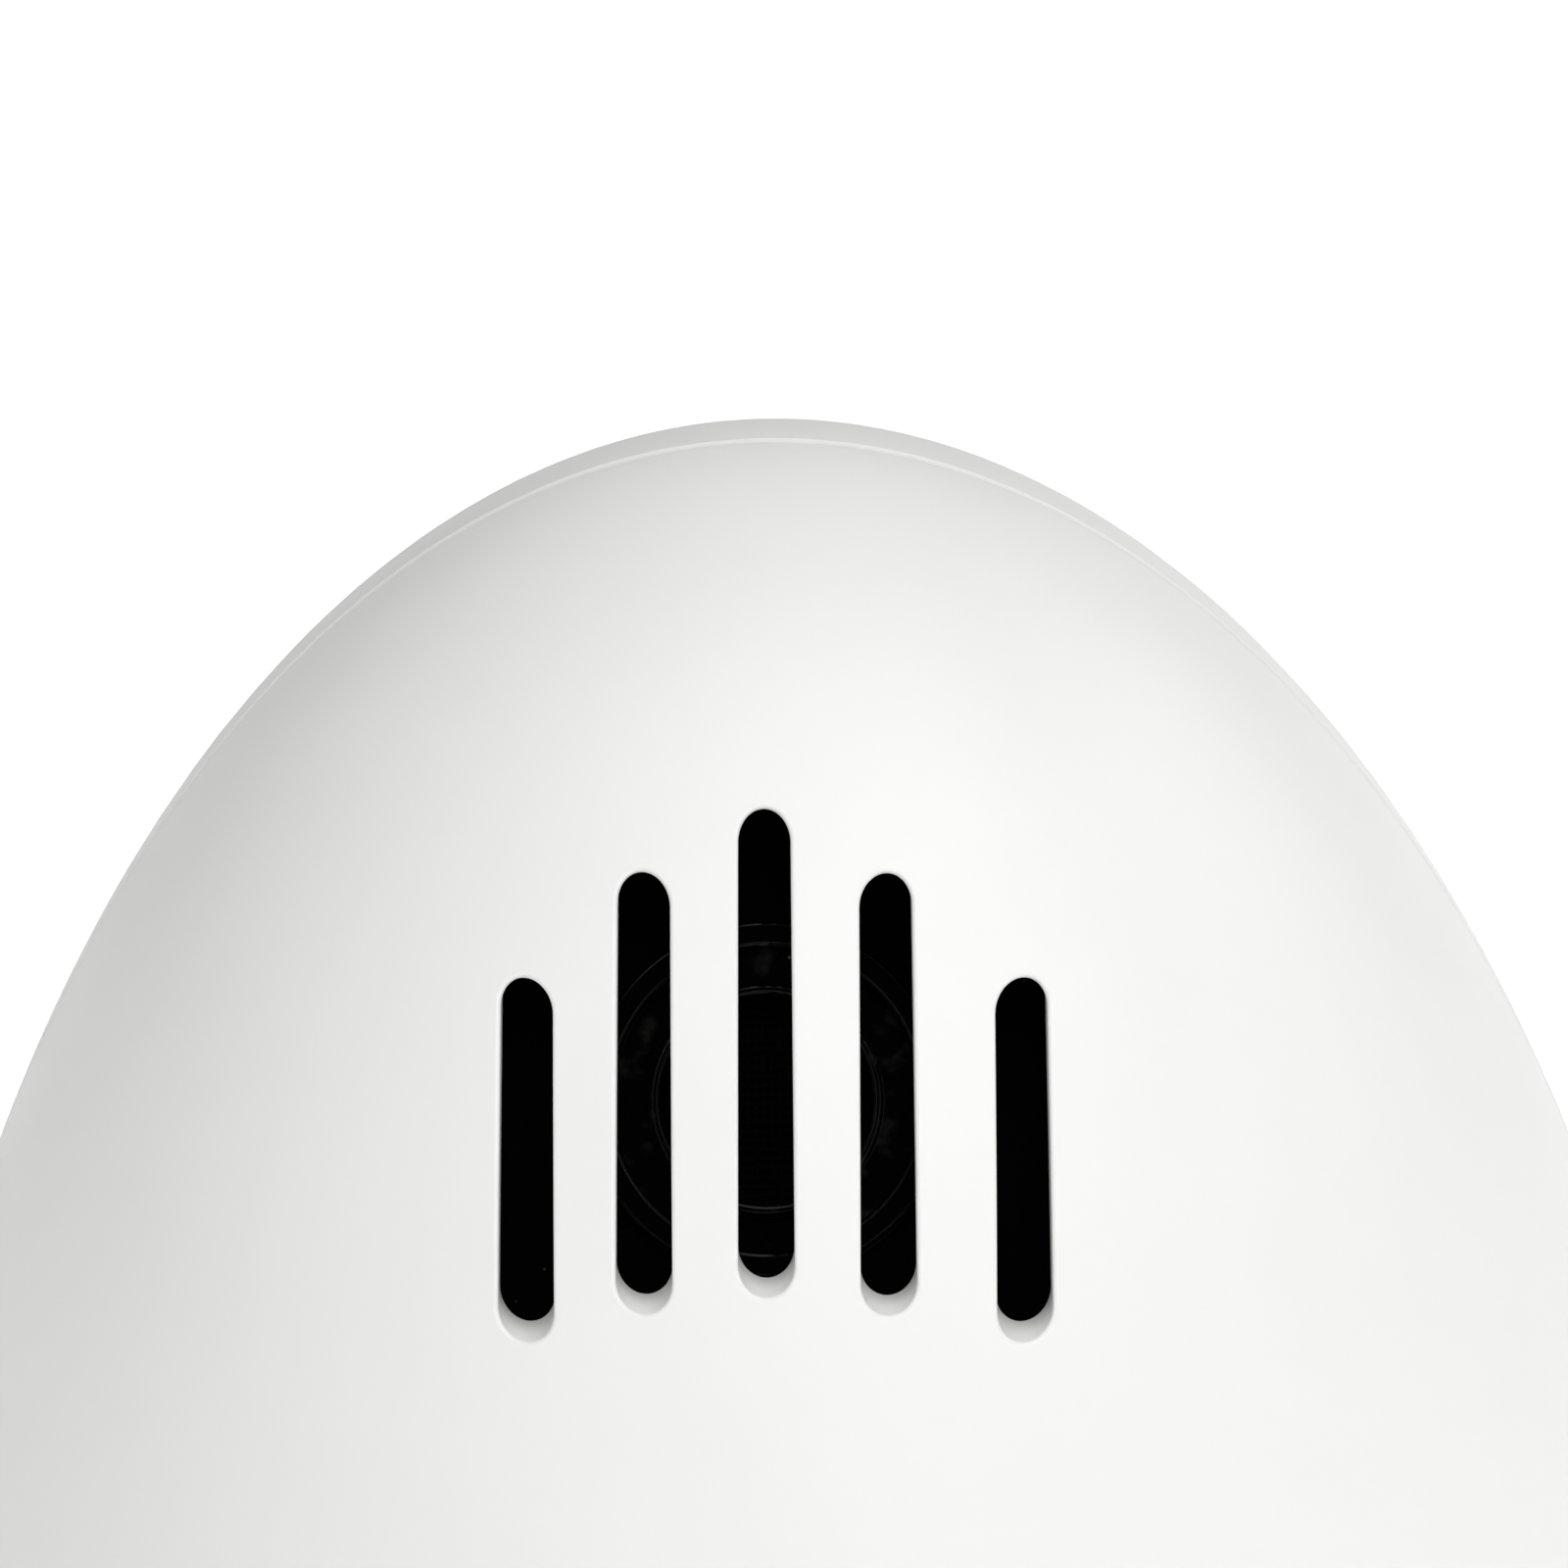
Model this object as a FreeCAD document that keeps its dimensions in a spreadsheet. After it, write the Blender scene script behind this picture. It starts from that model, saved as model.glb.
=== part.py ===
"""Egg-shaped countdown kitchen timer, in millimetres, +Z up, front towards -Y.

The origin is the bottom centre of the foot. The body is an egg standing on its blunt end,
split into a front and a rear shell on the plane y = 0. The front shell carries the sound
slots, the display window, the buttons, the circuit board and the sounder. The rear shell
carries the battery well and its bayonet cap.
"""
import FreeCAD, Part
import math
import os
import re

import Sketcher
from FreeCAD import Placement, Rotation, Vector

DIMENSIONS = (
    # body
    ("egg_radius", 33.0), ("egg_top", 60.75), ("egg_bottom", 36.5), ("egg_middle", 31.5),
    ("base_level", 1.2), ("floor_wall", 2.0), ("shell_wall", 1.5), ("parting_chamfer", 0.27),
    ("base_edge", 0.6), ("opening_edge", 0.2),
    ("lip_reach", 1.5), ("lip_wall", 0.9), ("lip_root", 0.4), ("fit_gap", 0.1),
    ("blank_reach", 100.0), ("overcut", 1.0),
    # sound slots, from the middle of the pattern
    ("slots_x", -0.28), ("slots_z", 78.7), ("slots_turn", 0.95), ("slot_pitch", 3.7),
    ("left_end_pitch", 3.59), ("right_end_pitch", 4.13),
    ("slot_top_width", 1.61), ("slot_bottom_width", 1.71), ("slot_edge", 0.12),
    ("centre_slot_top", 6.24), ("centre_slot_bottom", -6.26),
    ("inner_slot_top", 4.58), ("inner_slot_bottom", -6.82),
    ("outer_slot_top", 1.62), ("outer_slot_bottom", -7.88),
    # display
    ("window_z", 39.5), ("window_width", 28.0), ("window_height", 13.0), ("window_corner", 1.5),
    ("lens_width", 32.0), ("lens_height", 17.0), ("lens_corner", 3.0), ("lens_seat", 0.9),
    ("lens_thickness", 0.75), ("shroud_wall", 1.0), ("shroud_gap", 0.15), ("shroud_room", 0.4),
    ("panel_width", 30.0), ("panel_height", 15.0), ("panel_front", -24.6), ("panel_thickness", 2.0),
    ("panel_corner", 0.3),
    ("frame_width", 33.0), ("frame_height", 18.0), ("frame_front", -24.9), ("frame_corner", 1.0),
    ("strip_width", 26.0), ("strip_thickness", 1.6), ("strip_offset", 6.3),
    # circuit board
    ("board_front", -16.0), ("board_thickness", 1.6), ("board_width", 30.6), ("board_corner", 2.0),
    ("board_bottom", 10.5), ("board_top", 57.0), ("board_post_radius", 2.2),
    ("upper_post_x", 12.0), ("upper_post_z", 54.3), ("lower_post_x", 13.0), ("lower_post_z", 25.2),
    # buttons and their switches
    ("button_row", 17.5), ("side_button_x", 11.0), ("side_button_radius", 3.6),
    ("start_button_radius", 4.6), ("button_proud", 0.8), ("button_gap", 0.15),
    ("guide_wall", 0.9), ("guide_end", -23.05), ("flange_margin", 0.85), ("flange_front", -23.0),
    ("flange_back", -22.0), ("button_edge", 0.35),
    ("switch_size", 6.0), ("switch_depth", 3.5), ("plunger_radius", 1.7), ("plunger_tip", 5.0),
    ("plunger_foot", 2.4), ("plunger_bore_floor", 1.7),
    # sounder, in its own tilted frame whose Z points out through the slots
    ("sounder_x", -0.3), ("sounder_y", -16.36), ("sounder_z", 75.65), ("sounder_tilt", 60.0),
    ("mount_radius", 10.5), ("mount_thickness", 1.2), ("mount_tab_half", 8.9),
    ("mount_tab_end", -14.4), ("mount_tab_start", -6.0), ("mount_post_x", 6.5),
    ("mount_post_y", -12.0), ("mount_post_radius", 2.2), ("mount_post_length", 8.0),
    ("port_radius", 3.3), ("port_rim", 0.35), ("rim_height", 0.35), ("ring_inner", 4.8),
    ("ring_outer", 5.6), ("ring_height", 0.5), ("mount_edge", 0.12),
    ("case_radius", 6.0), ("case_length", 6.5),
    ("case_wall", 0.6), ("collar_wall", 0.9), ("collar_length", 3.0), ("diaphragm_depth", 1.4),
    ("diaphragm_thickness", 0.15), ("screen_thickness", 0.3),
    ("coil_inner", 1.6), ("coil_outer", 3.0), ("coil_length", 2.9),
    ("magnet_inner", 3.6), ("magnet_outer", 5.2), ("magnet_length", 2.2), ("core_radius", 1.5),
    # battery, well and cap
    ("battery_z", 33.0), ("well_radius", 14.6), ("well_back", 20.4), ("well_floor", 21.8),
    ("cell_radius", 10.0), ("cell_seat", 22.6), ("cell_thickness", 3.2), ("cell_step", 0.5),
    ("cell_cup", 8.7),
    ("cell_bore", 10.3), ("groove_start", 25.9), ("groove_end", 27.2), ("groove_radius", 12.6),
    ("cap_bore", 11.2), ("cap_land", 28.4), ("cap_recess", 13.5), ("cap_radius", 13.25),
    ("cap_plug_radius", 11.0), ("cap_plug_end", 25.98), ("cap_under", 28.9), ("cap_inset", 0.1),
    ("cap_hollow_radius", 9.5), ("cap_hollow_end", 29.5),
    ("lug_radius", 12.3), ("lug_half_width", 3.7), ("lug_start", 26.0), ("lug_end", 27.1),
    ("entry_half_width", 4.2), ("unlock_angle", 45.0), ("coin_slot_length", 15.0),
    ("coin_slot_width", 1.8), ("coin_slot_floor", 31.4),
    ("seal_inner", 11.6), ("seal_outer", 13.0), ("seal_start", 28.42),
    ("contact_thickness", 0.3), ("contact_radius", 5.0), ("contact_crown", 2.2),
    ("tail_end", 18.4), ("tail_width", 1.4), ("tail_gap", 0.25), ("side_contact_x", 10.05),
    ("side_contact_height", 4.0), ("side_contact_end", 25.4),
    # fasteners
    ("low_screw_x", 19.0), ("low_screw_z", 20.0), ("high_screw_x", 13.0), ("high_screw_z", 62.0),
    ("front_post_radius", 3.2), ("rear_post_radius", 3.9), ("post_gap", 0.1),
    ("case_screw_seat", 12.0), ("case_screw_end", -7.0), ("case_screw_radius", 1.25),
    ("case_head_radius", 2.4), ("case_head_depth", 1.8), ("case_head_bore", 2.75),
    ("case_screw_bore", 1.5), ("pilot_gap", 0.01), ("pilot_extra", 1.5),
    ("small_pilot_extra", 0.5),
    ("small_screw_radius", 0.9), ("small_screw_length", 6.0), ("small_head_radius", 1.8),
    ("small_head_depth", 1.1), ("drive_slot_width", 0.7), ("drive_slot_share", 0.7),
    ("drive_slot_depth", 0.6),
    ("small_screw_hole", 1.05), ("mount_screw_length", 4.0), ("pilot_margin", 0.2),
    # foot
    ("foot_inner", 13.9), ("foot_outer", 17.2), ("foot_top", 2.0), ("foot_gap", 0.05),
    ("foot_round", 0.5),
    # components on the rear of the board
    ("chip_z", 42.0), ("chip_radius", 5.5), ("chip_height", 1.5), ("chip_sphere", 11.0),
    ("crystal_x", 8.5), ("crystal_z", 33.0), ("crystal_radius", 1.0), ("crystal_length", 6.0),
    ("capacitor_x", -9.0), ("capacitor_z", 48.0), ("capacitor_radius", 2.0),
    ("capacitor_height", 5.0), ("resistor_length", 2.0), ("resistor_width", 1.25),
    ("resistor_height", 0.6), ("resistor_pitch", 4.0), ("resistor_z", 31.0), ("resistor_x", -11.0),
    # leads
    ("lead_radius", 0.5), ("sounder_lead_x", 1.6), ("contact_lead_x", 0.15),
    ("negative_lead_end", -5.0), ("positive_lead_end", 6.0),
)
RESISTOR_COUNT = 3
BEND_SHARE = 0.45  # of the shorter run beside a bend
SAME_PLACE = 1e-4
ALONG_EDGE = (0.25, 0.5, 0.75)
# corners of the leads' routes: the sounder's pair, then the pair from the battery contacts
SOUNDER_LEAD = ((-9.65, 71.78), (-5.7, 69.43), (-5.4, 61.5), (-9.4, 54.0), (-14.4, 53.0))
BATTERY_LEAD = ((18.4, 33.0), (12.0, 33.0), (5.5, 28.0), (-3.5, 24.0), (-9.0, 22.0), (-14.4, 22.0))

FRONT, REAR = "front", "rear"
MIRRORED = (("left", -1), ("right", 1))

doc = FreeCAD.newDocument("KitchenTimer")
sheet = doc.addObject("Spreadsheet::Sheet", "Dims")
for row, (alias, value) in enumerate(DIMENSIONS, start=1):
    sheet.set(f"A{row}", alias)
    sheet.set(f"B{row}", str(value))
    sheet.setAlias(f"B{row}", alias)
doc.recompute()
SIZES = dict(DIMENSIONS)
subparts = []


# --- helpers ------------------------------------------------------------------------------

def formula(text):
    """The text with each dimension's name pointing at its cell in the sheet."""
    return re.sub(r"[a-z][a-z_]*", lambda word: f"Dims.{word.group()}"
                  if word.group() in SIZES else word.group(), text)


def bind(made, **values):
    """Bind properties of an object to formulas of the sheet's dimensions."""
    for name, text in values.items():
        made.setExpression(name.replace("__", "."), formula(text))
    return made


def place(made, x="0", y="0", z="0"):
    """Bind the object's position."""
    return bind(made, Placement__Base__x=x, Placement__Base__y=y, Placement__Base__z=z)


def box(name, x, y, z):
    """A block between three pairs of planes."""
    made = doc.addObject("Part::Box", name)
    bind(made, Length=f"({x[1]}) - ({x[0]})", Width=f"({y[1]}) - ({y[0]})",
         Height=f"({z[1]}) - ({z[0]})")
    return place(made, x[0], y[0], z[0])


def disc(name, radius, z, x="0", y="0"):
    """A round bar along Z between two levels."""
    made = doc.addObject("Part::Cylinder", name)
    bind(made, Radius=radius, Height=f"({z[1]}) - ({z[0]})")
    return place(made, x, y, z[0])


def rod(name, radius, y, x="0", z="0"):
    """A round bar along Y between two planes."""
    made = doc.addObject("Part::Cylinder", name)
    made.Placement = Placement(Vector(), Rotation(Vector(1, 0, 0), -90))
    bind(made, Radius=radius, Height=f"({y[1]}) - ({y[0]})")
    return place(made, x, y[0], z)


def fuse(name, *parts):
    """The parts as one."""
    made = doc.addObject("Part::MultiFuse", name)
    made.Shapes = list(parts)
    return made


def group(name, *parts):
    """Separate solids kept side by side."""
    made = doc.addObject("Part::Compound", name)
    made.Links = list(parts)
    return made


def cut(name, base, *tools):
    """The base less the tools."""
    made = doc.addObject("Part::Cut", name)
    made.Base = base
    made.Tool = tools[0] if len(tools) == 1 else fuse(f"{name}_tools", *tools)
    return made


def common(name, first, second):
    """What two shapes share."""
    made = doc.addObject("Part::MultiCommon", name)
    made.Shapes = [first, second]
    return made


def ring(name, outer, inner, z):
    """A tube along Z."""
    return cut(name, disc(f"{name}_outer", outer, z), disc(f"{name}_inner", inner, z))


def tube(name, outer, inner, y, x="0", z="0"):
    """A tube along Y."""
    return cut(name, rod(f"{name}_outer", outer, y, x, z), rod(f"{name}_inner", inner, y, x, z))


def rounded(name, base, size, chosen, kind="Part::Fillet"):
    """The base with the chosen edges rounded or chamfered to a named size."""
    doc.recompute()
    made = doc.addObject(kind, name)
    made.Base = base
    made.Edges = [(number, SIZES[size], SIZES[size])
                  for number, edge in enumerate(base.Shape.Edges, start=1) if chosen(edge)]
    return made


def sub_part(node, made):
    """Name a finished sub-part and list it for writing."""
    made.Label = node
    subparts.append(made)
    return made


def origin_plane(body, role):
    """One of a body's own origin planes."""
    return next(plane for plane in body.Origin.OriginFeatures if plane.Role == role)


def sketch_on(body, role, name, offset):
    """A sketch on one of the body's origin planes, moved along that plane's normal."""
    sketch = body.newObject("Sketcher::SketchObject", name)
    sketch.AttachmentSupport = [(origin_plane(body, role), "")]
    sketch.MapMode = "FlatFace"
    bind(sketch, AttachmentOffset__Base__z=offset)
    return sketch


def constrain(sketch, sizes):
    """Named constraints, each bound to a formula: (name, constraint arguments, formula)."""
    for name, arguments, text in sizes:
        number = sketch.addConstraint(Sketcher.Constraint(*arguments))
        sketch.renameConstraint(number, name)
        sketch.setExpression(f"Constraints.{name}", formula(text))


def arc(centre, radius, start, end):
    """An arc in a sketch, from one angle to another in degrees."""
    circle = Part.Circle(Vector(*centre, 0), Vector(0, 0, 1), radius)
    return Part.ArcOfCircle(circle, math.radians(start), math.radians(end))


def rounded_rectangle(sketch, width, height, corner):
    """A rectangle with round corners about the sketch's origin."""
    half_x, half_y, turn = 10.0, 8.0, 1.0  # starting sizes, which the constraints replace
    far_x, far_y = half_x - turn, half_y - turn
    lines = ((-far_x, -half_y, far_x, -half_y), (half_x, -far_y, half_x, far_y),
             (far_x, half_y, -far_x, half_y), (-half_x, far_y, -half_x, -far_y))
    corners = (((far_x, -far_y), 270), ((far_x, far_y), 0), ((-far_x, far_y), 90), ((-far_x, -far_y), 180))
    shapes = []
    for (x0, y0, x1, y1), (centre, start) in zip(lines, corners):
        shapes.append(Part.LineSegment(Vector(x0, y0, 0), Vector(x1, y1, 0)))
        shapes.append(arc(centre, turn, start, start + 90))
    sketch.addGeometry(shapes, False)
    rules = [Sketcher.Constraint("Tangent", edge, 2, (edge + 1) % 8, 1) for edge in range(8)]
    rules += [Sketcher.Constraint("Horizontal", edge) for edge in (0, 4)]
    rules += [Sketcher.Constraint("Vertical", edge) for edge in (2, 6)]
    rules += [Sketcher.Constraint("Equal", 1, edge) for edge in (3, 5, 7)]
    rules.append(Sketcher.Constraint("Symmetric", 1, 3, 5, 3, -1, 1))
    sketch.addConstraint(rules)
    constrain(sketch, (("corner", ("Radius", 1, turn), corner),
                       ("wide", ("DistanceX", 6, 1, 2, 1, 2 * half_x), width),
                       ("tall", ("DistanceY", 0, 1, 4, 2, 2 * half_y), height)))


def plate(name, width, height, corner, y, z):
    """A round-cornered plate that faces the front, between two planes, centred at height z."""
    body = doc.addObject("PartDesign::Body", name)
    sketch = sketch_on(body, "XZ_Plane", f"{name}_outline", f"-({y[1]})")
    rounded_rectangle(sketch, width, height, corner)
    pad = body.newObject("PartDesign::Pad", f"{name}_pad")
    pad.Profile = sketch
    bind(pad, Length=f"({y[1]}) - ({y[0]})")
    body.Tip = pad
    return place(body, z=z)


def half_egg(name, inset, side):
    """Half of the egg, front or rear, at a depth below the outer surface (or above it)."""
    halves = []
    for part, reach, first, last in (("upper", "egg_top", 0, 90), ("lower", "egg_bottom", -90, 0)):
        made = doc.addObject("Part::Ellipsoid", f"{name}_{part}")
        made.Angle1, made.Angle2, made.Angle3 = first, last, 180
        bind(made, Radius1=f"{reach} - ({inset})", Radius2=f"egg_radius - ({inset})",
             Radius3=f"egg_radius - ({inset})")
        if side == FRONT:
            made.Placement = Placement(Vector(), Rotation(Vector(0, 0, 1), 180))
        halves.append(place(made, z="egg_middle"))
    made = fuse(name, *halves)
    made.Refine = True
    return made


def above(name, level):
    """The space above a level, as a large block."""
    reach = ("-blank_reach", "blank_reach")
    return box(name, reach, reach, (level, "blank_reach"))


# --- shells -------------------------------------------------------------------------------

def hollow_half(side):
    """One half of the egg, hollowed, with a flat floor."""
    blank = common(f"{side}_blank", half_egg(f"{side}_skin", "0", side), above(f"{side}_top", "base_level"))
    cavity = common(f"{side}_cavity", half_egg(f"{side}_lining", "shell_wall", side),
                    above(f"{side}_floor", "base_level + floor_wall"))
    return cut(f"{side}_hollow", blank, cavity)


def slot_tool(name, x, top, bottom):
    """One sound slot: two round ends joined by straight sides, a little wider at its foot."""
    body = doc.addObject("PartDesign::Body", name)
    sketch = sketch_on(body, "XZ_Plane", f"{name}_outline", "0")
    far, turn = 5.0, 0.8  # starting sizes, which the constraints replace
    sketch.addGeometry([arc((0, far), turn, 0, 180), arc((0, -far), turn, 180, 360),
                        Part.LineSegment(Vector(-turn, far, 0), Vector(-turn, -far, 0)),
                        Part.LineSegment(Vector(turn, -far, 0), Vector(turn, far, 0))], False)
    joints = ((0, 2, 2, 1), (2, 2, 1, 1), (1, 2, 3, 1), (3, 2, 0, 1))
    sketch.addConstraint([Sketcher.Constraint("Tangent", *joint) for joint in joints])
    sketch.addConstraint([Sketcher.Constraint("PointOnObject", end, 3, -2) for end in (0, 1)])
    constrain(sketch, (("top_radius", ("Radius", 0, turn), "slot_top_width / 2"),
                       ("bottom_radius", ("Radius", 1, turn), "slot_bottom_width / 2"),
                       ("top_centre", ("DistanceY", -1, 1, 0, 3, far), f"{top} - slot_top_width / 2"),
                       ("bottom_centre", ("DistanceY", 1, 3, -1, 1, far),
                        f"-({bottom}) - slot_bottom_width / 2")))
    pad = body.newObject("PartDesign::Pad", f"{name}_pad")
    pad.Profile = sketch
    bind(pad, Length="egg_radius")
    body.Tip = pad
    return place(body, x=x)


def slots_tool():
    """The five sound slots, turned together about the middle of their pattern."""
    rows = (("left_end", "-slot_pitch - left_end_pitch", "outer"), ("left", "-slot_pitch", "inner"),
            ("centre", "0", "centre"), ("right", "slot_pitch", "inner"),
            ("right_end", "slot_pitch + right_end_pitch", "outer"))
    slots = [slot_tool(f"{name}_slot", x, f"{size}_slot_top", f"{size}_slot_bottom")
             for name, x, size in rows]
    made = fuse("sound_slots", *slots)
    made.Placement = Placement(Vector(), Rotation(Vector(0, 1, 0), SIZES["slots_turn"]))
    bind(made, Placement__Rotation__Angle="slots_turn")
    return place(made, "slots_x", "0", "slots_z")


def tilted(made, level="0"):
    """Put a shape of the sounder's own frame in its place behind the slots, raised to a level."""
    made.Placement = Placement(Vector(), Rotation(Vector(1, 0, 0), SIZES["sounder_tilt"]))
    bind(made, Placement__Rotation__Angle="sounder_tilt")
    return place(made, "sounder_x", f"sounder_y - ({level}) * sin(sounder_tilt)",
                 f"sounder_z + ({level}) * cos(sounder_tilt)")


def case_posts():
    """Where the four case screws stand: (name, x, z)."""
    places = []
    for side, sign in MIRRORED:
        places.append((f"low_{side}", f"{sign} * low_screw_x", "low_screw_z"))
        places.append((f"high_{side}", f"{sign} * high_screw_x", "high_screw_z"))
    return places


def board_posts():
    """Where the four board screws stand: (name, x, z)."""
    places = []
    for side, sign in MIRRORED:
        places.append((f"upper_{side}", f"{sign} * upper_post_x", "upper_post_z"))
        places.append((f"lower_{side}", f"{sign} * lower_post_x", "lower_post_z"))
    return places


def buttons():
    """The three buttons: (name, x, radius)."""
    return (("minute", "-side_button_x", "side_button_radius"), ("start_stop", "0", "start_button_radius"),
            ("second", "side_button_x", "side_button_radius"))


def front_shell():
    """Front half with slots, window, button guides and the posts that carry the insides."""
    skin = "-egg_radius"
    added = [rod(f"{name}_front_post", "front_post_radius", (skin, "-post_gap"), x, z)
             for name, x, z in case_posts()]
    added += [rod(f"{name}_board_post", "board_post_radius", (skin, "board_front"), x, z)
              for name, x, z in board_posts()]
    added += [rod(f"{name}_guide", f"{radius} + button_gap + guide_wall", (skin, "guide_end"), x, "button_row")
              for name, x, radius in buttons()]
    sounder_posts = [disc(f"{side}_sounder_post", "mount_post_radius", ("0", "mount_post_length"),
                          f"{sign} * mount_post_x", "mount_post_y") for side, sign in MIRRORED]
    added.append(tilted(fuse("sounder_posts", *sounder_posts)))
    inside = common("front_additions", fuse("front_posts", *added),
                    half_egg("front_additions_limit", "shell_wall / 2", FRONT))
    shell = fuse("front_with_posts", hollow_half(FRONT), inside)
    holes = [slots_tool(),
             plate("window_hole", "window_width", "window_height", "window_corner",
                   ("-egg_radius - lens_seat", "panel_front - shell_wall"), "window_z"),
             lens_blank("lens_recess", "-button_proud", "lens_seat", "0"), foot_tool("front_foot_groove")]
    holes += [rod(f"{name}_hole", f"{radius} + button_gap", ("-blank_reach", "guide_end + overcut"), x, "button_row")
              for name, x, radius in buttons()]
    holes += [rod(f"{name}_pilot", "case_screw_radius + pilot_gap", ("case_screw_end - pilot_extra", "0"), x, z)
              for name, x, z in case_posts()]
    holes += [rod(f"{name}_board_pilot", "small_screw_radius + pilot_gap",
                  ("board_front + board_thickness - small_screw_length - small_pilot_extra", "board_front"), x, z)
              for name, x, z in board_posts()]
    sounder_pilots = [disc(f"{side}_sounder_pilot", "small_screw_radius + pilot_gap",
                           ("-mount_thickness", "mount_screw_length - mount_thickness + pilot_margin"),
                           f"{sign} * mount_post_x", "mount_post_y") for side, sign in MIRRORED]
    holes.append(tilted(fuse("sounder_pilots", *sounder_pilots)))
    openings = (("slots", "slot_edge", is_slot_edge), ("openings", "opening_edge", is_front_opening),
                ("base", "base_edge", is_base_edge))
    return sub_part("front_shell", finished_shell(cut("front_cut", shell, *holes), FRONT, openings))


def rear_shell():
    """Rear half with the battery well, screw posts and the locating lip that enters the front."""
    posts = [rod(f"{name}_rear_post", "rear_post_radius", ("post_gap", "egg_radius"), x, z)
             for name, x, z in case_posts()]
    well = rod("well_blank", "well_radius", ("well_back", "egg_radius"), "0", "battery_z")
    inside = common("rear_additions", fuse("rear_posts", well, *posts),
                    half_egg("rear_additions_limit", "shell_wall / 2", REAR))
    shell = fuse("rear_with_posts", hollow_half(REAR), inside, locating_lip())
    holes = [foot_tool("rear_foot_groove"), battery_space()]
    holes += [rod(f"{name}_rear_bore", "case_screw_bore", ("-overcut", "case_screw_seat + overcut"), x, z)
              for name, x, z in case_posts()]
    holes += [rod(f"{name}_head_bore", "case_head_bore", ("case_screw_seat", "2 * egg_radius"), x, z)
              for name, x, z in case_posts()]
    openings = (("openings", "opening_edge", is_rear_opening), ("base", "base_edge", is_base_edge))
    return sub_part("rear_shell", finished_shell(cut("rear_cut", shell, *holes), REAR, openings))


def is_slot_edge(edge):
    """Whether an edge is a slot's outline on the outer surface."""
    point = middle_of(edge)
    half_width = SIZES["slot_pitch"] + SIZES["right_end_pitch"] + SIZES["slot_bottom_width"]
    across = abs(point.x - SIZES["slots_x"]) < half_width
    level = point.z > SIZES["slots_z"] + SIZES["outer_slot_bottom"] - SIZES["slot_bottom_width"]
    return on_skin(edge) and not on_parting(edge) and across and level


def is_front_opening(edge):
    """Whether an edge is a button hole's outline on the outer surface."""
    point = middle_of(edge)
    high = abs(point.z - SIZES["button_row"]) < SIZES["start_button_radius"] + SIZES["guide_wall"]
    wide = abs(point.x) < SIZES["side_button_x"] + SIZES["start_button_radius"]
    return on_skin(edge) and not on_parting(edge) and high and wide and point.y < 0


def is_rear_opening(edge):
    """Whether an edge is a screw bore's or the cap recess's outline on the outer surface."""
    point = middle_of(edge)
    high = point.z > SIZES["base_level"] + SIZES["overcut"]
    return on_skin(edge) and not is_seam(edge) and high and point.y > SIZES["case_screw_seat"]


def is_base_edge(edge):
    """Whether an edge runs round the flat base."""
    return on_skin(edge) and not on_parting(edge) and abs(middle_of(edge).z - SIZES["base_level"]) < SAME_PLACE


def is_seam(edge):
    """Whether an edge is only where two patches of the egg's surface meet."""
    return min(edge.BoundBox.ZLength, edge.BoundBox.XLength) < SAME_PLACE


def locating_lip():
    """A thin rib inside the parting line: rooted in the rear wall, free inside the front one."""
    reach = ("-blank_reach", "blank_reach")
    pieces = []
    for name, side, outer, y in (("lip_root", REAR, "shell_wall - lip_root", ("0", "2 * lip_reach")),
                                 ("lip_tip", FRONT, "shell_wall + fit_gap", ("-lip_reach", "0"))):
        skin = half_egg(f"{name}_skin", outer, side)
        core = half_egg(f"{name}_core", "shell_wall + lip_wall", side)
        slab = box(f"{name}_slab", reach, y, ("base_level + floor_wall + fit_gap", "blank_reach"))
        pieces.append(common(name, cut(f"{name}_skin_cut", skin, core), slab))
    return fuse("locating_lip", *pieces)


def middle_of(edge):
    """The point half way along an edge."""
    return edge.valueAt((edge.FirstParameter + edge.LastParameter) / 2)


def on_skin(edge):
    """Whether an edge lies on the egg's outer surface at each of a few points along it."""
    levels = []
    for share in ALONG_EDGE:
        point = edge.valueAt(edge.FirstParameter + share * (edge.LastParameter - edge.FirstParameter))
        height = point.z - SIZES["egg_middle"]
        reach = SIZES["egg_top"] if height > 0 else SIZES["egg_bottom"]
        levels.append(math.hypot(math.hypot(point.x, point.y) / SIZES["egg_radius"], height / reach))
    return max(abs(level - 1) for level in levels) < SAME_PLACE


def on_parting(edge):
    """Whether an edge lies in the parting plane."""
    return max(abs(edge.BoundBox.YMin), abs(edge.BoundBox.YMax)) < SAME_PLACE


def finished_shell(shell, side, openings):
    """The shell with its parting line chamfered and its base, slots and openings rounded."""
    made = rounded(f"{side}_chamfered", shell, "parting_chamfer",
                   lambda edge: on_skin(edge) and on_parting(edge), "Part::Chamfer")
    for name, size, chosen in openings:
        made = rounded(f"{side}_{name}", made, size, chosen)
    return made


# --- display ------------------------------------------------------------------------------

def lens_blank(name, proud, seat, margin):
    """A round-cornered tile of the egg's skin between two depths."""
    tile = plate(f"{name}_tile", f"lens_width - 2 * ({margin})", f"lens_height - 2 * ({margin})",
                 "lens_corner", ("-2 * egg_radius", "-egg_radius / 2"), "window_z")
    outside = cut(f"{name}_skin", half_egg(f"{name}_outer", proud, FRONT), half_egg(f"{name}_inner", seat, FRONT))
    return common(name, tile, outside)


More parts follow.
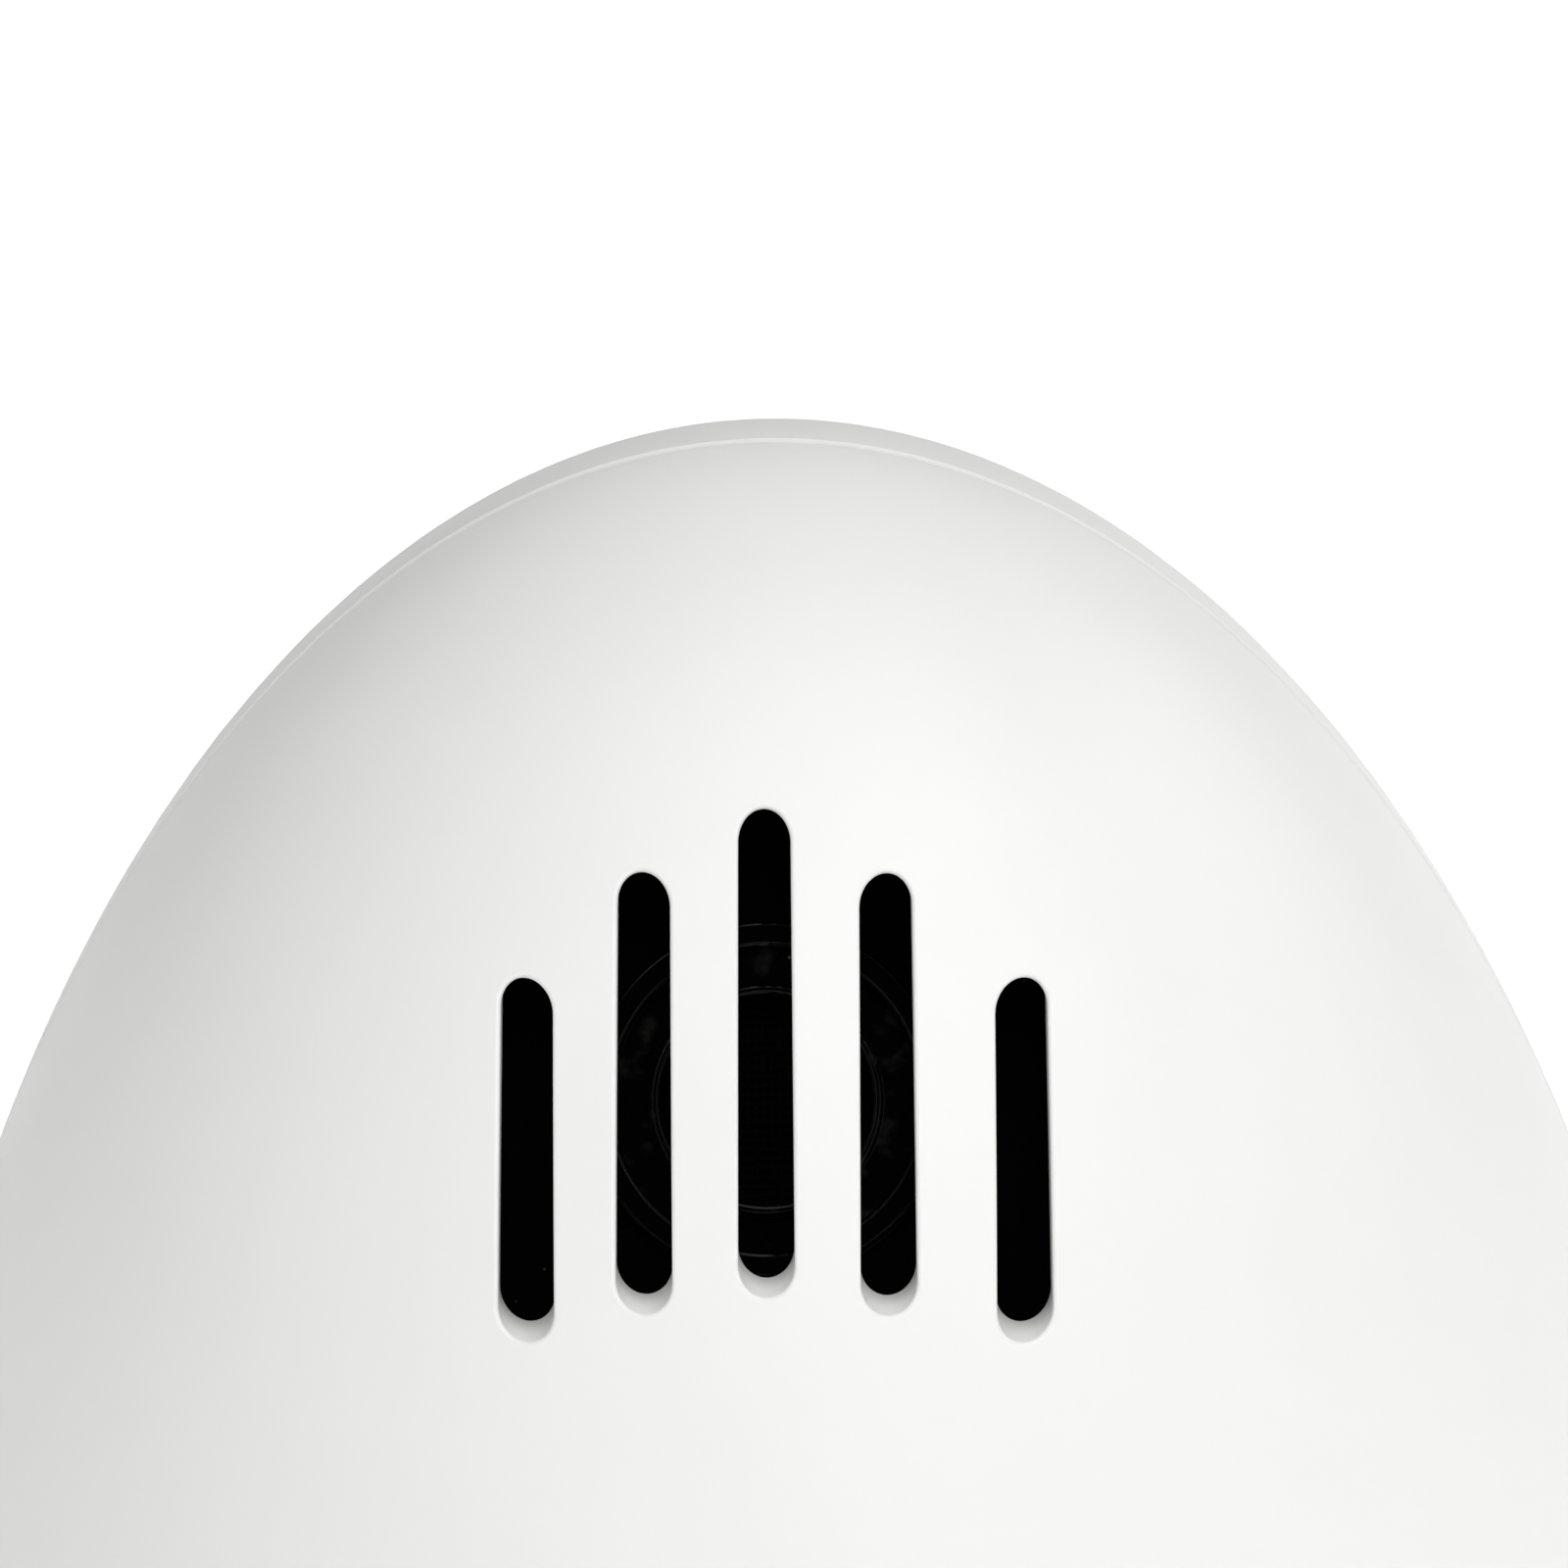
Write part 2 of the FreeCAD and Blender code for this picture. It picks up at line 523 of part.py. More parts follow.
def display():
    """Window lens, its adhesive, the shroud, the glass panel, its frame and contact strips."""
    sub_part("display_lens", lens_blank("lens", "0", "lens_thickness", "fit_gap"))
    hole = plate("adhesive_hole", "window_width", "window_height", "window_corner",
                 ("-2 * egg_radius", "0"), "window_z")
    sub_part("lens_adhesive", cut("adhesive", lens_blank("tape", "lens_thickness", "lens_seat", "fit_gap"), hole))
    shroud = cut("shroud_tube",
                 plate("shroud_outer", "window_width + 2 * shroud_wall + shroud_room",
                       "window_height + 2 * shroud_wall + shroud_room", "window_corner",
                       ("-egg_radius", "frame_front - shroud_gap"), "window_z"),
                 plate("shroud_inner", "window_width + shroud_room", "window_height + shroud_room",
                       "window_corner", ("-2 * egg_radius", "0"), "window_z"))
    sub_part("display_shroud", common("shroud", shroud, half_egg("shroud_limit", "shell_wall + shroud_gap", FRONT)))
    panel_back = "panel_front + panel_thickness"
    sub_part("lcd_panel", plate("panel", "panel_width", "panel_height", "panel_corner",
                                ("panel_front", panel_back), "window_z"))
    frame = plate("frame_blank", "frame_width", "frame_height", "frame_corner",
                  ("frame_front", "board_front"), "window_z")
    seat = plate("frame_seat", "panel_width + 2 * fit_gap", "panel_height + 2 * fit_gap", "panel_corner",
                 ("frame_front - overcut", panel_back), "window_z")
    holes = [seat]
    for name, sign in (("upper", 1), ("lower", -1)):
        middle = f"window_z + ({sign}) * strip_offset"
        for kind, gap in (("strip", "0"), ("strip_hole", "fit_gap")):
            made = box(f"{name}_{kind}", (f"-strip_width / 2 - {gap}", f"strip_width / 2 + {gap}"),
                       (panel_back, "board_front"),
                       (f"{middle} - strip_thickness / 2 - {gap}", f"{middle} + strip_thickness / 2 + {gap}"))
            if kind == "strip":
                sub_part(f"{name}_contact_strip", made)
            else:
                holes.append(made)
    holes.append(plate("frame_relief", "strip_width", "2 * strip_offset - 2 * strip_thickness", "panel_corner",
                       (panel_back, "board_front"), "window_z"))
    sub_part("lcd_frame", cut("frame", frame, *holes))


# --- circuit board and buttons ------------------------------------------------------------

def circuit_board():
    """The board, screwed to the front shell's posts, and the parts soldered to its rear."""
    board_back = "board_front + board_thickness"
    board = plate("board_blank", "board_width", "board_top - board_bottom", "board_corner",
                  ("board_front", board_back), "(board_top + board_bottom) / 2")
    holes = [rod(f"{name}_board_hole", "small_screw_hole", ("board_front - overcut", f"{board_back} + overcut"), x, z)
             for name, x, z in board_posts()]
    sub_part("main_board", cut("board", board, *holes))
    ball = doc.addObject("Part::Sphere", "chip_ball")
    bind(ball, Radius="chip_sphere")
    place(ball, "0", f"{board_back} + chip_height - chip_sphere", "chip_z")
    rim = rod("chip_rim", "chip_radius", (board_back, f"{board_back} + 2 * chip_height"), "0", "chip_z")
    sub_part("timer_chip", common("chip", ball, rim))
    sub_part("clock_crystal", disc("crystal", "crystal_radius", ("crystal_z", "crystal_z + crystal_length"),
                                   "crystal_x", f"{board_back} + crystal_radius"))
    sub_part("capacitor", rod("capacitor_can", "capacitor_radius", (board_back, f"{board_back} + capacitor_height"),
                              "capacitor_x", "capacitor_z"))
    chips = []
    for number in range(RESISTOR_COUNT):
        z = f"resistor_z + {number} * resistor_pitch"
        chips.append(box(f"resistor_{number}", ("resistor_x", "resistor_x + resistor_length"),
                         (board_back, f"{board_back} + resistor_height"), (z, f"{z} + resistor_width")))
    sub_part("resistors", group("resistor_group", *chips))


def button(name, x, radius):
    """A button with a retaining flange and a foot on its switch, its face following the egg."""
    cap = common(f"{name}_cap", rod(f"{name}_bar", radius, ("-blank_reach", "flange_front"), x, "button_row"),
                 half_egg(f"{name}_face", "-button_proud", FRONT))
    flange = rod(f"{name}_flange", f"{radius} + flange_margin", ("flange_front", "flange_back"), x, "button_row")
    foot = rod(f"{name}_foot", "plunger_radius", ("flange_back", "board_front - plunger_tip"), x, "button_row")
    whole = fuse(f"{name}_whole", cap, flange, foot)

    def rim(edge):
        return edge.BoundBox.YMax < SIZES["guide_end"] - SIZES["button_edge"]
    sub_part(f"{name}_button", rounded(f"{name}_rounded", whole, "button_edge", rim))


def switch(name, x):
    """A board switch: a square case with a round bore, and the plunger that slides in it."""
    half = "switch_size / 2"
    case = box(f"{name}_case", (f"{x} - {half}", f"{x} + {half}"), ("board_front - switch_depth", "board_front"),
               (f"button_row - {half}", f"button_row + {half}"))
    bore = rod(f"{name}_bore", "plunger_radius + fit_gap",
               ("board_front - switch_depth - overcut", "board_front - plunger_bore_floor"), x, "button_row")
    sub_part(f"{name}_switch_case", cut(f"{name}_switch", case, bore))
    sub_part(f"{name}_switch_plunger", rod(f"{name}_plunger", "plunger_radius",
                                           ("board_front - plunger_tip", "board_front - plunger_foot"),
                                           x, "button_row"))


# --- sounder ------------------------------------------------------------------------------

def sounder():
    """The sounder behind the slots, on a mount screwed to the front shell."""
    back = "-mount_thickness"
    face = disc("mount_disc", "mount_radius", (back, "0"))
    tab = box("mount_tab", ("-mount_tab_half", "mount_tab_half"), ("mount_tab_end", "mount_tab_start"), (back, "0"))
    rim = disc("port_rim_disc", "port_radius + port_rim", (back, "rim_height"))
    raised = ring("mount_ring", "ring_outer", "ring_inner", (back, "ring_height"))
    collar = ring("mount_collar", "case_radius + fit_gap + collar_wall", "case_radius + fit_gap",
                  (f"{back} - collar_length", back))
    holes = [disc("sound_port", "port_radius", (f"{back} - overcut", "rim_height + overcut"))]
    holes += [disc(f"{side}_mount_hole", "small_screw_hole", (f"{back} - overcut", "overcut"), f"{sign} * mount_post_x",
                   "mount_post_y") for side, sign in MIRRORED]
    mount = cut("mount", fuse("mount_solid", face, tab, rim, raised, collar), *holes)

    def raised_edge(edge):
        return edge.BoundBox.ZMin > SIZES["rim_height"] - SAME_PLACE
    mount = rounded("mount_rounded", mount, "mount_edge", raised_edge)
    sub_part("sounder_mount", tilted(group("mount_in_place", mount)))
    case_back = f"{back} - case_length"
    inside = f"{case_back} + case_wall"
    case = cut("case", disc("case_blank", "case_radius", (case_back, back)),
               disc("case_inside", "case_radius - case_wall", (inside, back)))
    sub_part("sounder_case", tilted(case))
    sub_part("sounder_screen", tilted(disc("screen", "case_radius - case_wall - fit_gap",
                                           (f"{back} - screen_thickness", back)), f"{back} - screen_thickness"))
    plate_back = f"{back} - diaphragm_depth"
    diaphragm = disc("diaphragm", "case_radius - case_wall", (plate_back, f"{plate_back} + diaphragm_thickness"))
    sub_part("sounder_diaphragm", tilted(diaphragm, plate_back))
    sub_part("sounder_coil", tilted(ring("coil", "coil_outer", "coil_inner", (inside, f"{inside} + coil_length"))))
    sub_part("sounder_magnet", tilted(ring("magnet", "magnet_outer", "magnet_inner",
                                           (inside, f"{inside} + magnet_length"))))
    sub_part("sounder_core", tilted(disc("core", "core_radius", (inside, f"{inside} + coil_length")), inside))


# --- battery ------------------------------------------------------------------------------

def turned_bar(name, half_width, radius, y, angle):
    """A bar across the battery's axis, clipped to a circle and turned about that axis."""
    bar = box(f"{name}_bar", (f"-{radius}", radius), y, (f"-{half_width}", half_width))
    made = common(name, bar, rod(f"{name}_circle", radius, y))
    made.Placement = Placement(Vector(), Rotation(Vector(0, 1, 0), angle))
    return place(made, z="battery_z")


def contact_tail_hole(name, x):
    """The opening in the well's floor for a contact's tail."""
    return box(name, (f"{x} - tail_gap", f"{x} + contact_thickness + tail_gap"),
               ("well_back - overcut", "well_floor + overcut"),
               ("battery_z - tail_width / 2 - tail_gap", "battery_z + tail_width / 2 + tail_gap"))


def battery_space():
    """What the well leaves open: cell bore, bayonet groove and entries, cap bore and recess."""
    steps = (("cell_bore_hole", "cell_bore", ("well_floor", "groove_start")),
             ("groove_hole", "groove_radius", ("groove_start", "groove_end")),
             ("cap_bore_hole", "cap_bore", ("groove_end", "cap_land")),
             ("recess_hole", "cap_recess", ("cap_land", "2 * egg_radius")))
    holes = [rod(name, radius, y, "0", "battery_z") for name, radius, y in steps]
    holes.append(turned_bar("lug_entry", "entry_half_width", "groove_radius", ("groove_start", "cap_land"), 0))
    holes.append(contact_tail_hole("negative_tail_hole", "0"))
    holes.append(box("side_contact_notch", ("0", "side_contact_x + contact_thickness + tail_gap"),
                     ("well_back - overcut", "groove_start"),
                     ("battery_z - side_contact_height / 2 - tail_gap",
                      "battery_z + side_contact_height / 2 + tail_gap")))
    floor = rod("notch_keep_floor", "cell_radius - tail_gap", ("well_back - 2 * overcut", "well_floor"),
                "0", "battery_z")
    holes[-1] = cut("side_notch", holes[-1], floor)
    return fuse("battery_space", *holes)


def battery():
    """The coin cell, its two contacts, the bayonet cap and the cap's seal."""
    can = rod("cell_can", "cell_radius", ("cell_seat + cell_step", "cell_seat + cell_thickness"), "0", "battery_z")
    cup = rod("cell_cup", "cell_cup", ("cell_seat", "cell_seat + cell_step"), "0", "battery_z")
    sub_part("coin_cell", fuse("cell", can, cup))
    flat = rod("negative_plate", "contact_radius", ("well_floor", "well_floor + contact_thickness"), "0", "battery_z")
    crown = rod("negative_crown", "contact_crown", ("well_floor", "cell_seat"), "0", "battery_z")
    tail = box("negative_tail", ("0", "contact_thickness"), ("tail_end", "well_floor + contact_thickness"),
               ("battery_z - tail_width / 2", "battery_z + tail_width / 2"))
    sub_part("negative_contact", fuse("negative", flat, crown, tail))
    side_x = ("side_contact_x", "side_contact_x + contact_thickness")
    blade = box("side_blade", side_x, ("well_floor", "side_contact_end"),
                ("battery_z - side_contact_height / 2", "battery_z + side_contact_height / 2"))
    side_tail = box("side_tail", side_x, ("tail_end", "well_floor + contact_thickness"),
                    ("battery_z - tail_width / 2", "battery_z + tail_width / 2"))
    sub_part("positive_contact", fuse("positive", blade, side_tail))
    battery_cap()


def battery_cap():
    """A flush bayonet cap with a coin slot, shown locked, and its flat rubber seal."""
    head = common("cap_head", rod("cap_disc", "cap_radius", ("cap_under", "egg_radius + overcut"), "0", "battery_z"),
                  half_egg("cap_face", "cap_inset", REAR))
    plug = rod("cap_plug", "cap_plug_radius", ("cap_plug_end", "cap_under"), "0", "battery_z")
    lugs = turned_bar("cap_lugs", "lug_half_width", "lug_radius", ("lug_start", "lug_end"), -SIZES["unlock_angle"])
    hollow = rod("cap_hollow", "cap_hollow_radius", ("cap_plug_end", "cap_hollow_end"), "0", "battery_z")
    slot = box("coin_slot", ("-coin_slot_length / 2", "coin_slot_length / 2"),
               ("coin_slot_floor", "egg_radius + overcut"),
               ("battery_z - coin_slot_width / 2", "battery_z + coin_slot_width / 2"))
    sub_part("battery_cap", cut("cap", fuse("cap_solid", head, plug, lugs), hollow, slot))
    sub_part("cap_seal", tube("seal", "seal_outer", "seal_inner", ("seal_start", "cap_under"), "0", "battery_z"))


# --- foot, fasteners and leads ------------------------------------------------------------

def foot_tool(name):
    """The groove for the foot in the flat base."""
    return ring(name, "foot_outer + foot_gap", "foot_inner - foot_gap", ("base_level - overcut", "foot_top"))


def foot_ring():
    """A rubber ring that stands proud of the base."""
    blank = ring("foot_blank", "foot_outer", "foot_inner", ("0", "foot_top"))

    def lower_edge(edge):
        return edge.BoundBox.ZMax < SAME_PLACE
    sub_part("foot_ring", rounded("foot_rounded", blank, "foot_round", lower_edge))


def screw(name, seat, head_radius, head_depth, radius, length, x, z):
    """A round-headed screw along Y with its head to the rear and a cross in the head."""
    head = rod(f"{name}_head", head_radius, (seat, f"{seat} + {head_depth}"), x, z)
    shank = rod(f"{name}_shank", radius, (f"{seat} - ({length})", seat), x, z)
    drive = []
    long, short = f"drive_slot_share * {head_radius}", "drive_slot_width / 2"
    for way, wide, tall in (("flat", long, short), ("upright", short, long)):
        drive.append(box(f"{name}_{way}", (f"{x} - {wide}", f"{x} + {wide}"),
                         (f"{seat} + {head_depth} - drive_slot_depth", f"{seat} + {head_depth} + overcut"),
                         (f"{z} - {tall}", f"{z} + {tall}")))
    return cut(name, fuse(f"{name}_solid", head, shank), *drive)


def fasteners():
    """The case screws, the board screws and the sounder screws, each set in one node."""
    case = [screw(f"{name}_case_screw", "case_screw_seat", "case_head_radius", "case_head_depth",
                  "case_screw_radius", "case_screw_seat - case_screw_end", x, z) for name, x, z in case_posts()]
    sub_part("case_screws", group("case_screw_group", *case))
    small = ("small_head_radius", "small_head_depth", "small_screw_radius")
    board = [screw(f"{name}_board_screw", "board_front + board_thickness", *small, "small_screw_length", x, z)
             for name, x, z in board_posts()]
    sub_part("board_screws", group("board_screw_group", *board))
    mount = [seat_on_mount(screw(f"{side}_sounder_screw", "0", *small, "mount_screw_length", "0", "0"), sign)
             for side, sign in MIRRORED]
    sub_part("sounder_screws", group("sounder_screw_group", *mount))


def seat_on_mount(made, sign):
    """Put a screw built along Y on the back of the sounder mount."""
    made.Placement = Placement(Vector(), Rotation(Vector(1, 0, 0), SIZES["sounder_tilt"] - 90))
    return place(made, f"sounder_x + ({sign}) * mount_post_x",
                 "sounder_y + mount_post_y * cos(sounder_tilt) + mount_thickness * sin(sounder_tilt)",
                 "sounder_z + mount_post_y * sin(sounder_tilt) - mount_thickness * cos(sounder_tilt)")


def lead(node, x_start, x_end, route):
    """A round wire: straight runs joined by tangent arcs, from its two ends' x and a (y, z) route."""
    radius = SIZES["lead_radius"]
    middle_runs = len(route) - 3
    points = []
    for number, (y, z) in enumerate(route):
        across = min(max(number - 1, 0), middle_runs) / middle_runs
        points.append(Vector(x_start + (x_end - x_start) * across, y, z))
    edges = []
    here = points[0]
    for before, corner, after in zip(points, points[1:], points[2:]):
        come = (corner - before).normalize()
        leave = (after - corner).normalize()
        half_turn = come.getAngle(leave) / 2
        back_off = BEND_SHARE * min(before.distanceToPoint(corner), corner.distanceToPoint(after))
        bend = back_off / math.tan(half_turn)
        inward = (leave - come).normalize() * (bend / math.cos(half_turn) - bend)
        start, end = corner - come * back_off, corner + leave * back_off
        edges += [Part.makeLine(here, start), Part.Arc(start, corner + inward, end).toShape()]
        print(f"{node}: bend radius {bend:.1f} mm")
        here = end
    edges.append(Part.makeLine(here, points[-1]))
    path = Part.Wire(edges)
    profile = Part.Wire([Part.makeCircle(radius, points[0], points[1] - points[0])])
    made = doc.addObject("Part::Feature", node)
    made.Shape = path.makePipeShell([profile], True, False)
    expected = math.pi * radius ** 2 * path.Length
    print(f"{node}: length {path.Length:.1f} mm, volume {made.Shape.Volume:.2f} of {expected:.2f} mm3")
    sub_part(node, made)


def leads():
    """The two leads of the sounder and the two of the battery, each soldered to the board."""
    for side, sign in MIRRORED:
        x = sign * SIZES["sounder_lead_x"]
        lead(f"sounder_lead_{side}", SIZES["sounder_x"] + x, x, SOUNDER_LEAD)
    lead("battery_lead_negative", SIZES["contact_lead_x"], SIZES["negative_lead_end"], BATTERY_LEAD)
    lead("battery_lead_positive", SIZES["side_contact_x"] + SIZES["contact_lead_x"], SIZES["positive_lead_end"],
         BATTERY_LEAD)


# --- the whole timer ----------------------------------------------------------------------

def check_document():
    """Stop if anything failed to compute."""
    doc.recompute()
    for made in doc.Objects:
        if {"Invalid", "Error"} & set(made.State):
            raise RuntimeError(f"{made.Label} failed to compute: {made.State}")
    for made in subparts:
        if made.Shape.isNull() or not made.Shape.isValid() or not made.Shape.Solids:
            raise RuntimeError(f"{made.Label} has no valid solid")


def main():
    """Build every sub-part and write each one to its own file."""
    front_shell()
    rear_shell()
    display()
    circuit_board()
    for name, x, radius in buttons():
        button(name, x, radius)
        switch(name, x)
    sounder()
    battery()
    foot_ring()
    fasteners()
    leads()
    check_document()
    os.makedirs("parts", exist_ok=True)
    for made in subparts:
        made.Shape.exportStep(f"parts/{made.Label}.step")
        print(f"{made.Label}: {made.Shape.Volume:.1f} mm3, {len(made.Shape.Solids)} solid(s)")


main()
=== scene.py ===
"""Looks of an egg-shaped kitchen timer, made around its CAD frame. Metres, +Z up, front towards -Y."""
import math

import bmesh
import bpy
import numpy as np
from bpy.props import FloatProperty, FloatVectorProperty, PointerProperty, StringProperty
from mathutils import Matrix, Vector


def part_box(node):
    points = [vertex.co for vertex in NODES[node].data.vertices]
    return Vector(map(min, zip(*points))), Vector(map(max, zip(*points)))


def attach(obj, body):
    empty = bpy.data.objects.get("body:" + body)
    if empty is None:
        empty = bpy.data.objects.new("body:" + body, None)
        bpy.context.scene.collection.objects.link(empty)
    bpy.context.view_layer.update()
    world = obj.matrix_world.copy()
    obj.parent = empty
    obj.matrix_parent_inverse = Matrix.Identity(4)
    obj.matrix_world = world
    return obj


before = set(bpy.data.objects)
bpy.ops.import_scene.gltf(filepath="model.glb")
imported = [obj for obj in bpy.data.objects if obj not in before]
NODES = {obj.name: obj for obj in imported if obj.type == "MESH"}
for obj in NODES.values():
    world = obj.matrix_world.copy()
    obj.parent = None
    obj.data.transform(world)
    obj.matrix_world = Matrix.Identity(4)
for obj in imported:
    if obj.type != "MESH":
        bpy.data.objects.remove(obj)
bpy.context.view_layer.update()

bl_info = {
    "name": "Kitchen Timer Looks",
    "version": (1, 0, 0),
    "blender": (4, 5, 0),
    "location": "3D View > Sidebar > Timer",
    "description": "Materials, printed marks, display and studio for an egg-shaped kitchen timer",
    "category": "Object",
}

MM = 0.001
SHELL_LOW, SHELL_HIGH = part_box("front_shell")
LENS_LOW, LENS_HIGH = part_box("display_lens")
PANEL_LOW, PANEL_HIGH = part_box("lcd_panel")
CAP_LOW, CAP_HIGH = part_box("battery_cap")
# Radii of the sounder mount's ring edges: the port's rim, inside and out, then the raised ring's.
RING_EDGES = (3.36 * MM, 3.59 * MM, 4.86 * MM, 5.54 * MM)
# A wave texture of scale 1 repeats after this length.
WAVE_PERIOD = 2 * math.pi / 20
# Painted shade in the slots starts and is darkest at these depths below the skin. Each step is a share of the
# way between them and the share of the shell's colour that is left there. The last is what is left deepest.
SLOT_SHADE_DEPTHS = (0.05 * MM, 1.6 * MM)
SLOT_SHADE_STEPS = ((0.3, 0.97), (0.65, 0.85), (0.85, 0.74))
SLOT_SHADE_DEEPEST = 0.6
# Painted shade in the parting line: where it is darkest and ends, and the share of the colour that is left.
SEAM_REACH = (0.05 * MM, 0.32 * MM)
SEAM_SHADE = 0.72
# Points round a printed mark and along a rounded corner, parts of a straight side, rows across a print.
CIRCLE_POINTS = 36
CORNER_POINTS = 24
SIDE_PARTS = 16
FILM_ROWS = 6
# A capital's share of the font's size, and the room that each letter takes.
CAPITAL_SHARE = 0.7
LETTER_ROOM = 1.08
# Gap at a display segment's ends, as a share of its width.
SEGMENT_GAP = 0.12


# --- settings -----------------------------------------------------------------------------

def length(name, description, default):
    """A size in metres."""
    return FloatProperty(name=name, description=description, default=default, unit="LENGTH", precision=5)


def angle(name, description, degrees):
    """An angle, given here in degrees."""
    return FloatProperty(name=name, description=description, default=math.radians(degrees), subtype="ANGLE")


def colour(name, description, default):
    """A colour as an sRGB hex value."""
    return StringProperty(name=name, description=description, default=default)


class TimerBodySettings(bpy.types.PropertyGroup):
    """Sizes of the egg that the printed marks follow, and the colours of the mouldings."""
    egg_radius: length("Egg radius", "Half the widest width of the body", SHELL_HIGH.x)
    egg_middle: length("Widest level", "Height at which the body is widest", 31.5 * MM)
    egg_bottom: length("Lower reach", "Lower half-height of the egg, before the base is cut flat", 36.5 * MM)
    sounder_tilt: angle("Sounder tilt", "Angle between the sounder's axis and the vertical", 60.0)
    ink_height: length("Ink height", "How far printed marks stand off the surface", 0.03 * MM)
    letter_height: length("Letter height", "Height of the capitals above the buttons", 1.35 * MM)
    word_rise: length("Word rise", "From a button's top to the middle of its word", 2.16 * MM)
    mark_radius: length("Mark radius", "Radius of the locked and unlocked marks beside the cap", 0.75 * MM)
    mark_bore: length("Mark bore", "Radius of the clear middle of the unlocked mark", 0.45 * MM)
    mark_gap: length("Mark gap", "From the cap's edge to the middle of each mark", 1.9 * MM)
    pointer_size: length("Pointer size", "From the middle of the cap's pointer to its tip", 1.0 * MM)
    pointer_gap: length("Pointer gap", "From the cap's edge to the middle of its pointer", 2.0 * MM)
    cap_inset: length("Cap inset", "How far the cap's face lies below the egg's surface", 0.1 * MM)
    cap_turn: angle("Cap turn", "Turn of the battery cap from locked to unlocked", 45.0)
    shell_colour: colour("Shell", "White ABS of the two shells and the battery cap", "#F3F3F2")
    button_colour: colour("Side buttons", "Grey of the minute and second buttons", "#A3A7AA")
    start_colour: colour("Start button", "Darker grey of the start and stop button", "#5E6367")
    ink_colour: colour("Ink", "Printed words and pointers", "#6C7073")


class TimerDisplaySettings(bpy.types.PropertyGroup):
    """The window's printed border and the figures of the display."""
    border_inset: length("Border inset", "Gap between the lens's edge and its printed border", 0.25 * MM)
    border_corner: length("Border corner", "Corner radius of the printed border", 2.6 * MM)
    border_depth: length("Border depth", "From the egg's surface down to the back of the border", 0.73 * MM)
    border_thickness: length("Border thickness", "Thickness of the printed border", 0.03 * MM)
    window_width: length("Window width", "Clear width inside the printed border", 26.6 * MM)
    window_height: length("Window height", "Clear height inside the printed border", 11.8 * MM)
    window_corner: length("Window corner", "Corner radius of the clear window", 1.2 * MM)
    digit_width: length("Digit width", "Width of one figure", 4.3 * MM)
    digit_height: length("Digit height", "Height of one figure", 8.4 * MM)
    digit_gap: length("Digit gap", "Gap between two figures", 1.5 * MM)
    segment_width: length("Segment width", "Thickness of one segment", 0.95 * MM)
    segment_rise: length("Segment rise", "From the glass to the back of the segments", 0.01 * MM)
    lit_rise: length("Lit rise", "From the glass to the face of the lit segments", 0.05 * MM)
    unlit_rise: length("Unlit rise", "From the glass to the face of the unlit segments", 0.03 * MM)
    colon_room: length("Colon room", "How far each pair of figures stands out for the colon", 0.9 * MM)
    colon_radius: length("Colon radius", "Radius of each dot of the colon", 0.55 * MM)
    colon_rise: length("Colon rise", "From the figures' middle to each dot of the colon", 1.7 * MM)
    slant: angle("Slant", "Lean of the figures to the right", 6.0)
    figures: StringProperty(name="Figures", description="Minutes and seconds shown", default="1000")


class TimerStageSettings(bpy.types.PropertyGroup):
    """The camera's place round the timer and the strength of the studio's lights."""
    look_at: FloatVectorProperty(name="Look at", description="Point the camera faces", subtype="XYZ",
                                 unit="LENGTH", default=(0.42 * MM, 0.0, 80.4 * MM))
    distance: length("Distance", "From the camera to the point it faces", 227.14 * MM)
    elevation: angle("Elevation", "Camera's height above the horizon", 19.1)
    azimuth: angle("Azimuth", "Camera's turn round the timer from straight ahead", 0.12)
    roll: angle("Roll", "Camera's turn about its own axis", -1.22)
    lens: FloatProperty(name="Focal length", description="In millimetres, on a 36 mm sensor", default=157.5)
    near_glow: FloatProperty(name="Near glow", description="Light that the table gives off under the timer",
                             default=0.28)
    far_glow: FloatProperty(name="Far glow", description="Light that the table gives off elsewhere",
                            default=0.73)
    glow_start: length("Glow start", "From the timer's middle to where the near glow ends", 40 * MM)
    glow_end: length("Glow end", "From the timer's middle to where the far glow starts", 165 * MM)
    table_reach: length("Table's reach", "From the timer to the table's edge", 12.0)
    light_distance: length("Light distance", "From the timer's middle to each softbox", 0.6)
    horizon: FloatProperty(name="Horizon", description="Light from just above the table's edge", default=0.25)
    surround: FloatProperty(name="Surround", description="Light that comes from all round", default=0.08)


# --- small helpers ------------------------------------------------------------------------

def linear(hex_colour):
    """An sRGB hex colour as linear RGBA."""
    values = [int(hex_colour[digit:digit + 2], 16) / 255 for digit in (1, 3, 5)]
    return tuple(v / 12.92 if v <= 0.04045 else ((v + 0.055) / 1.055) ** 2.4 for v in values) + (1.0,)


def egg_depth(x, z, proud):
    """Distance of the egg's surface from the parting plane, above the point (x, z).

    The body is an ellipse turned about Z, with one half-height above its widest level and another
    below. At height z it is a circle of radius R sqrt(1 - (z - middle)^2 / reach^2), and its depth at x
    is sqrt(circle^2 - x^2). proud moves the surface outwards.
    """
    body = bpy.context.scene.timer_body
    up = z - body.egg_middle
    reach = np.where(up > 0, SHELL_HIGH.z - body.egg_middle, body.egg_bottom) + proud
    circle = (body.egg_radius + proud) ** 2 * (1 - (up / reach) ** 2)
    return np.sqrt(np.maximum(circle - x ** 2, 0))


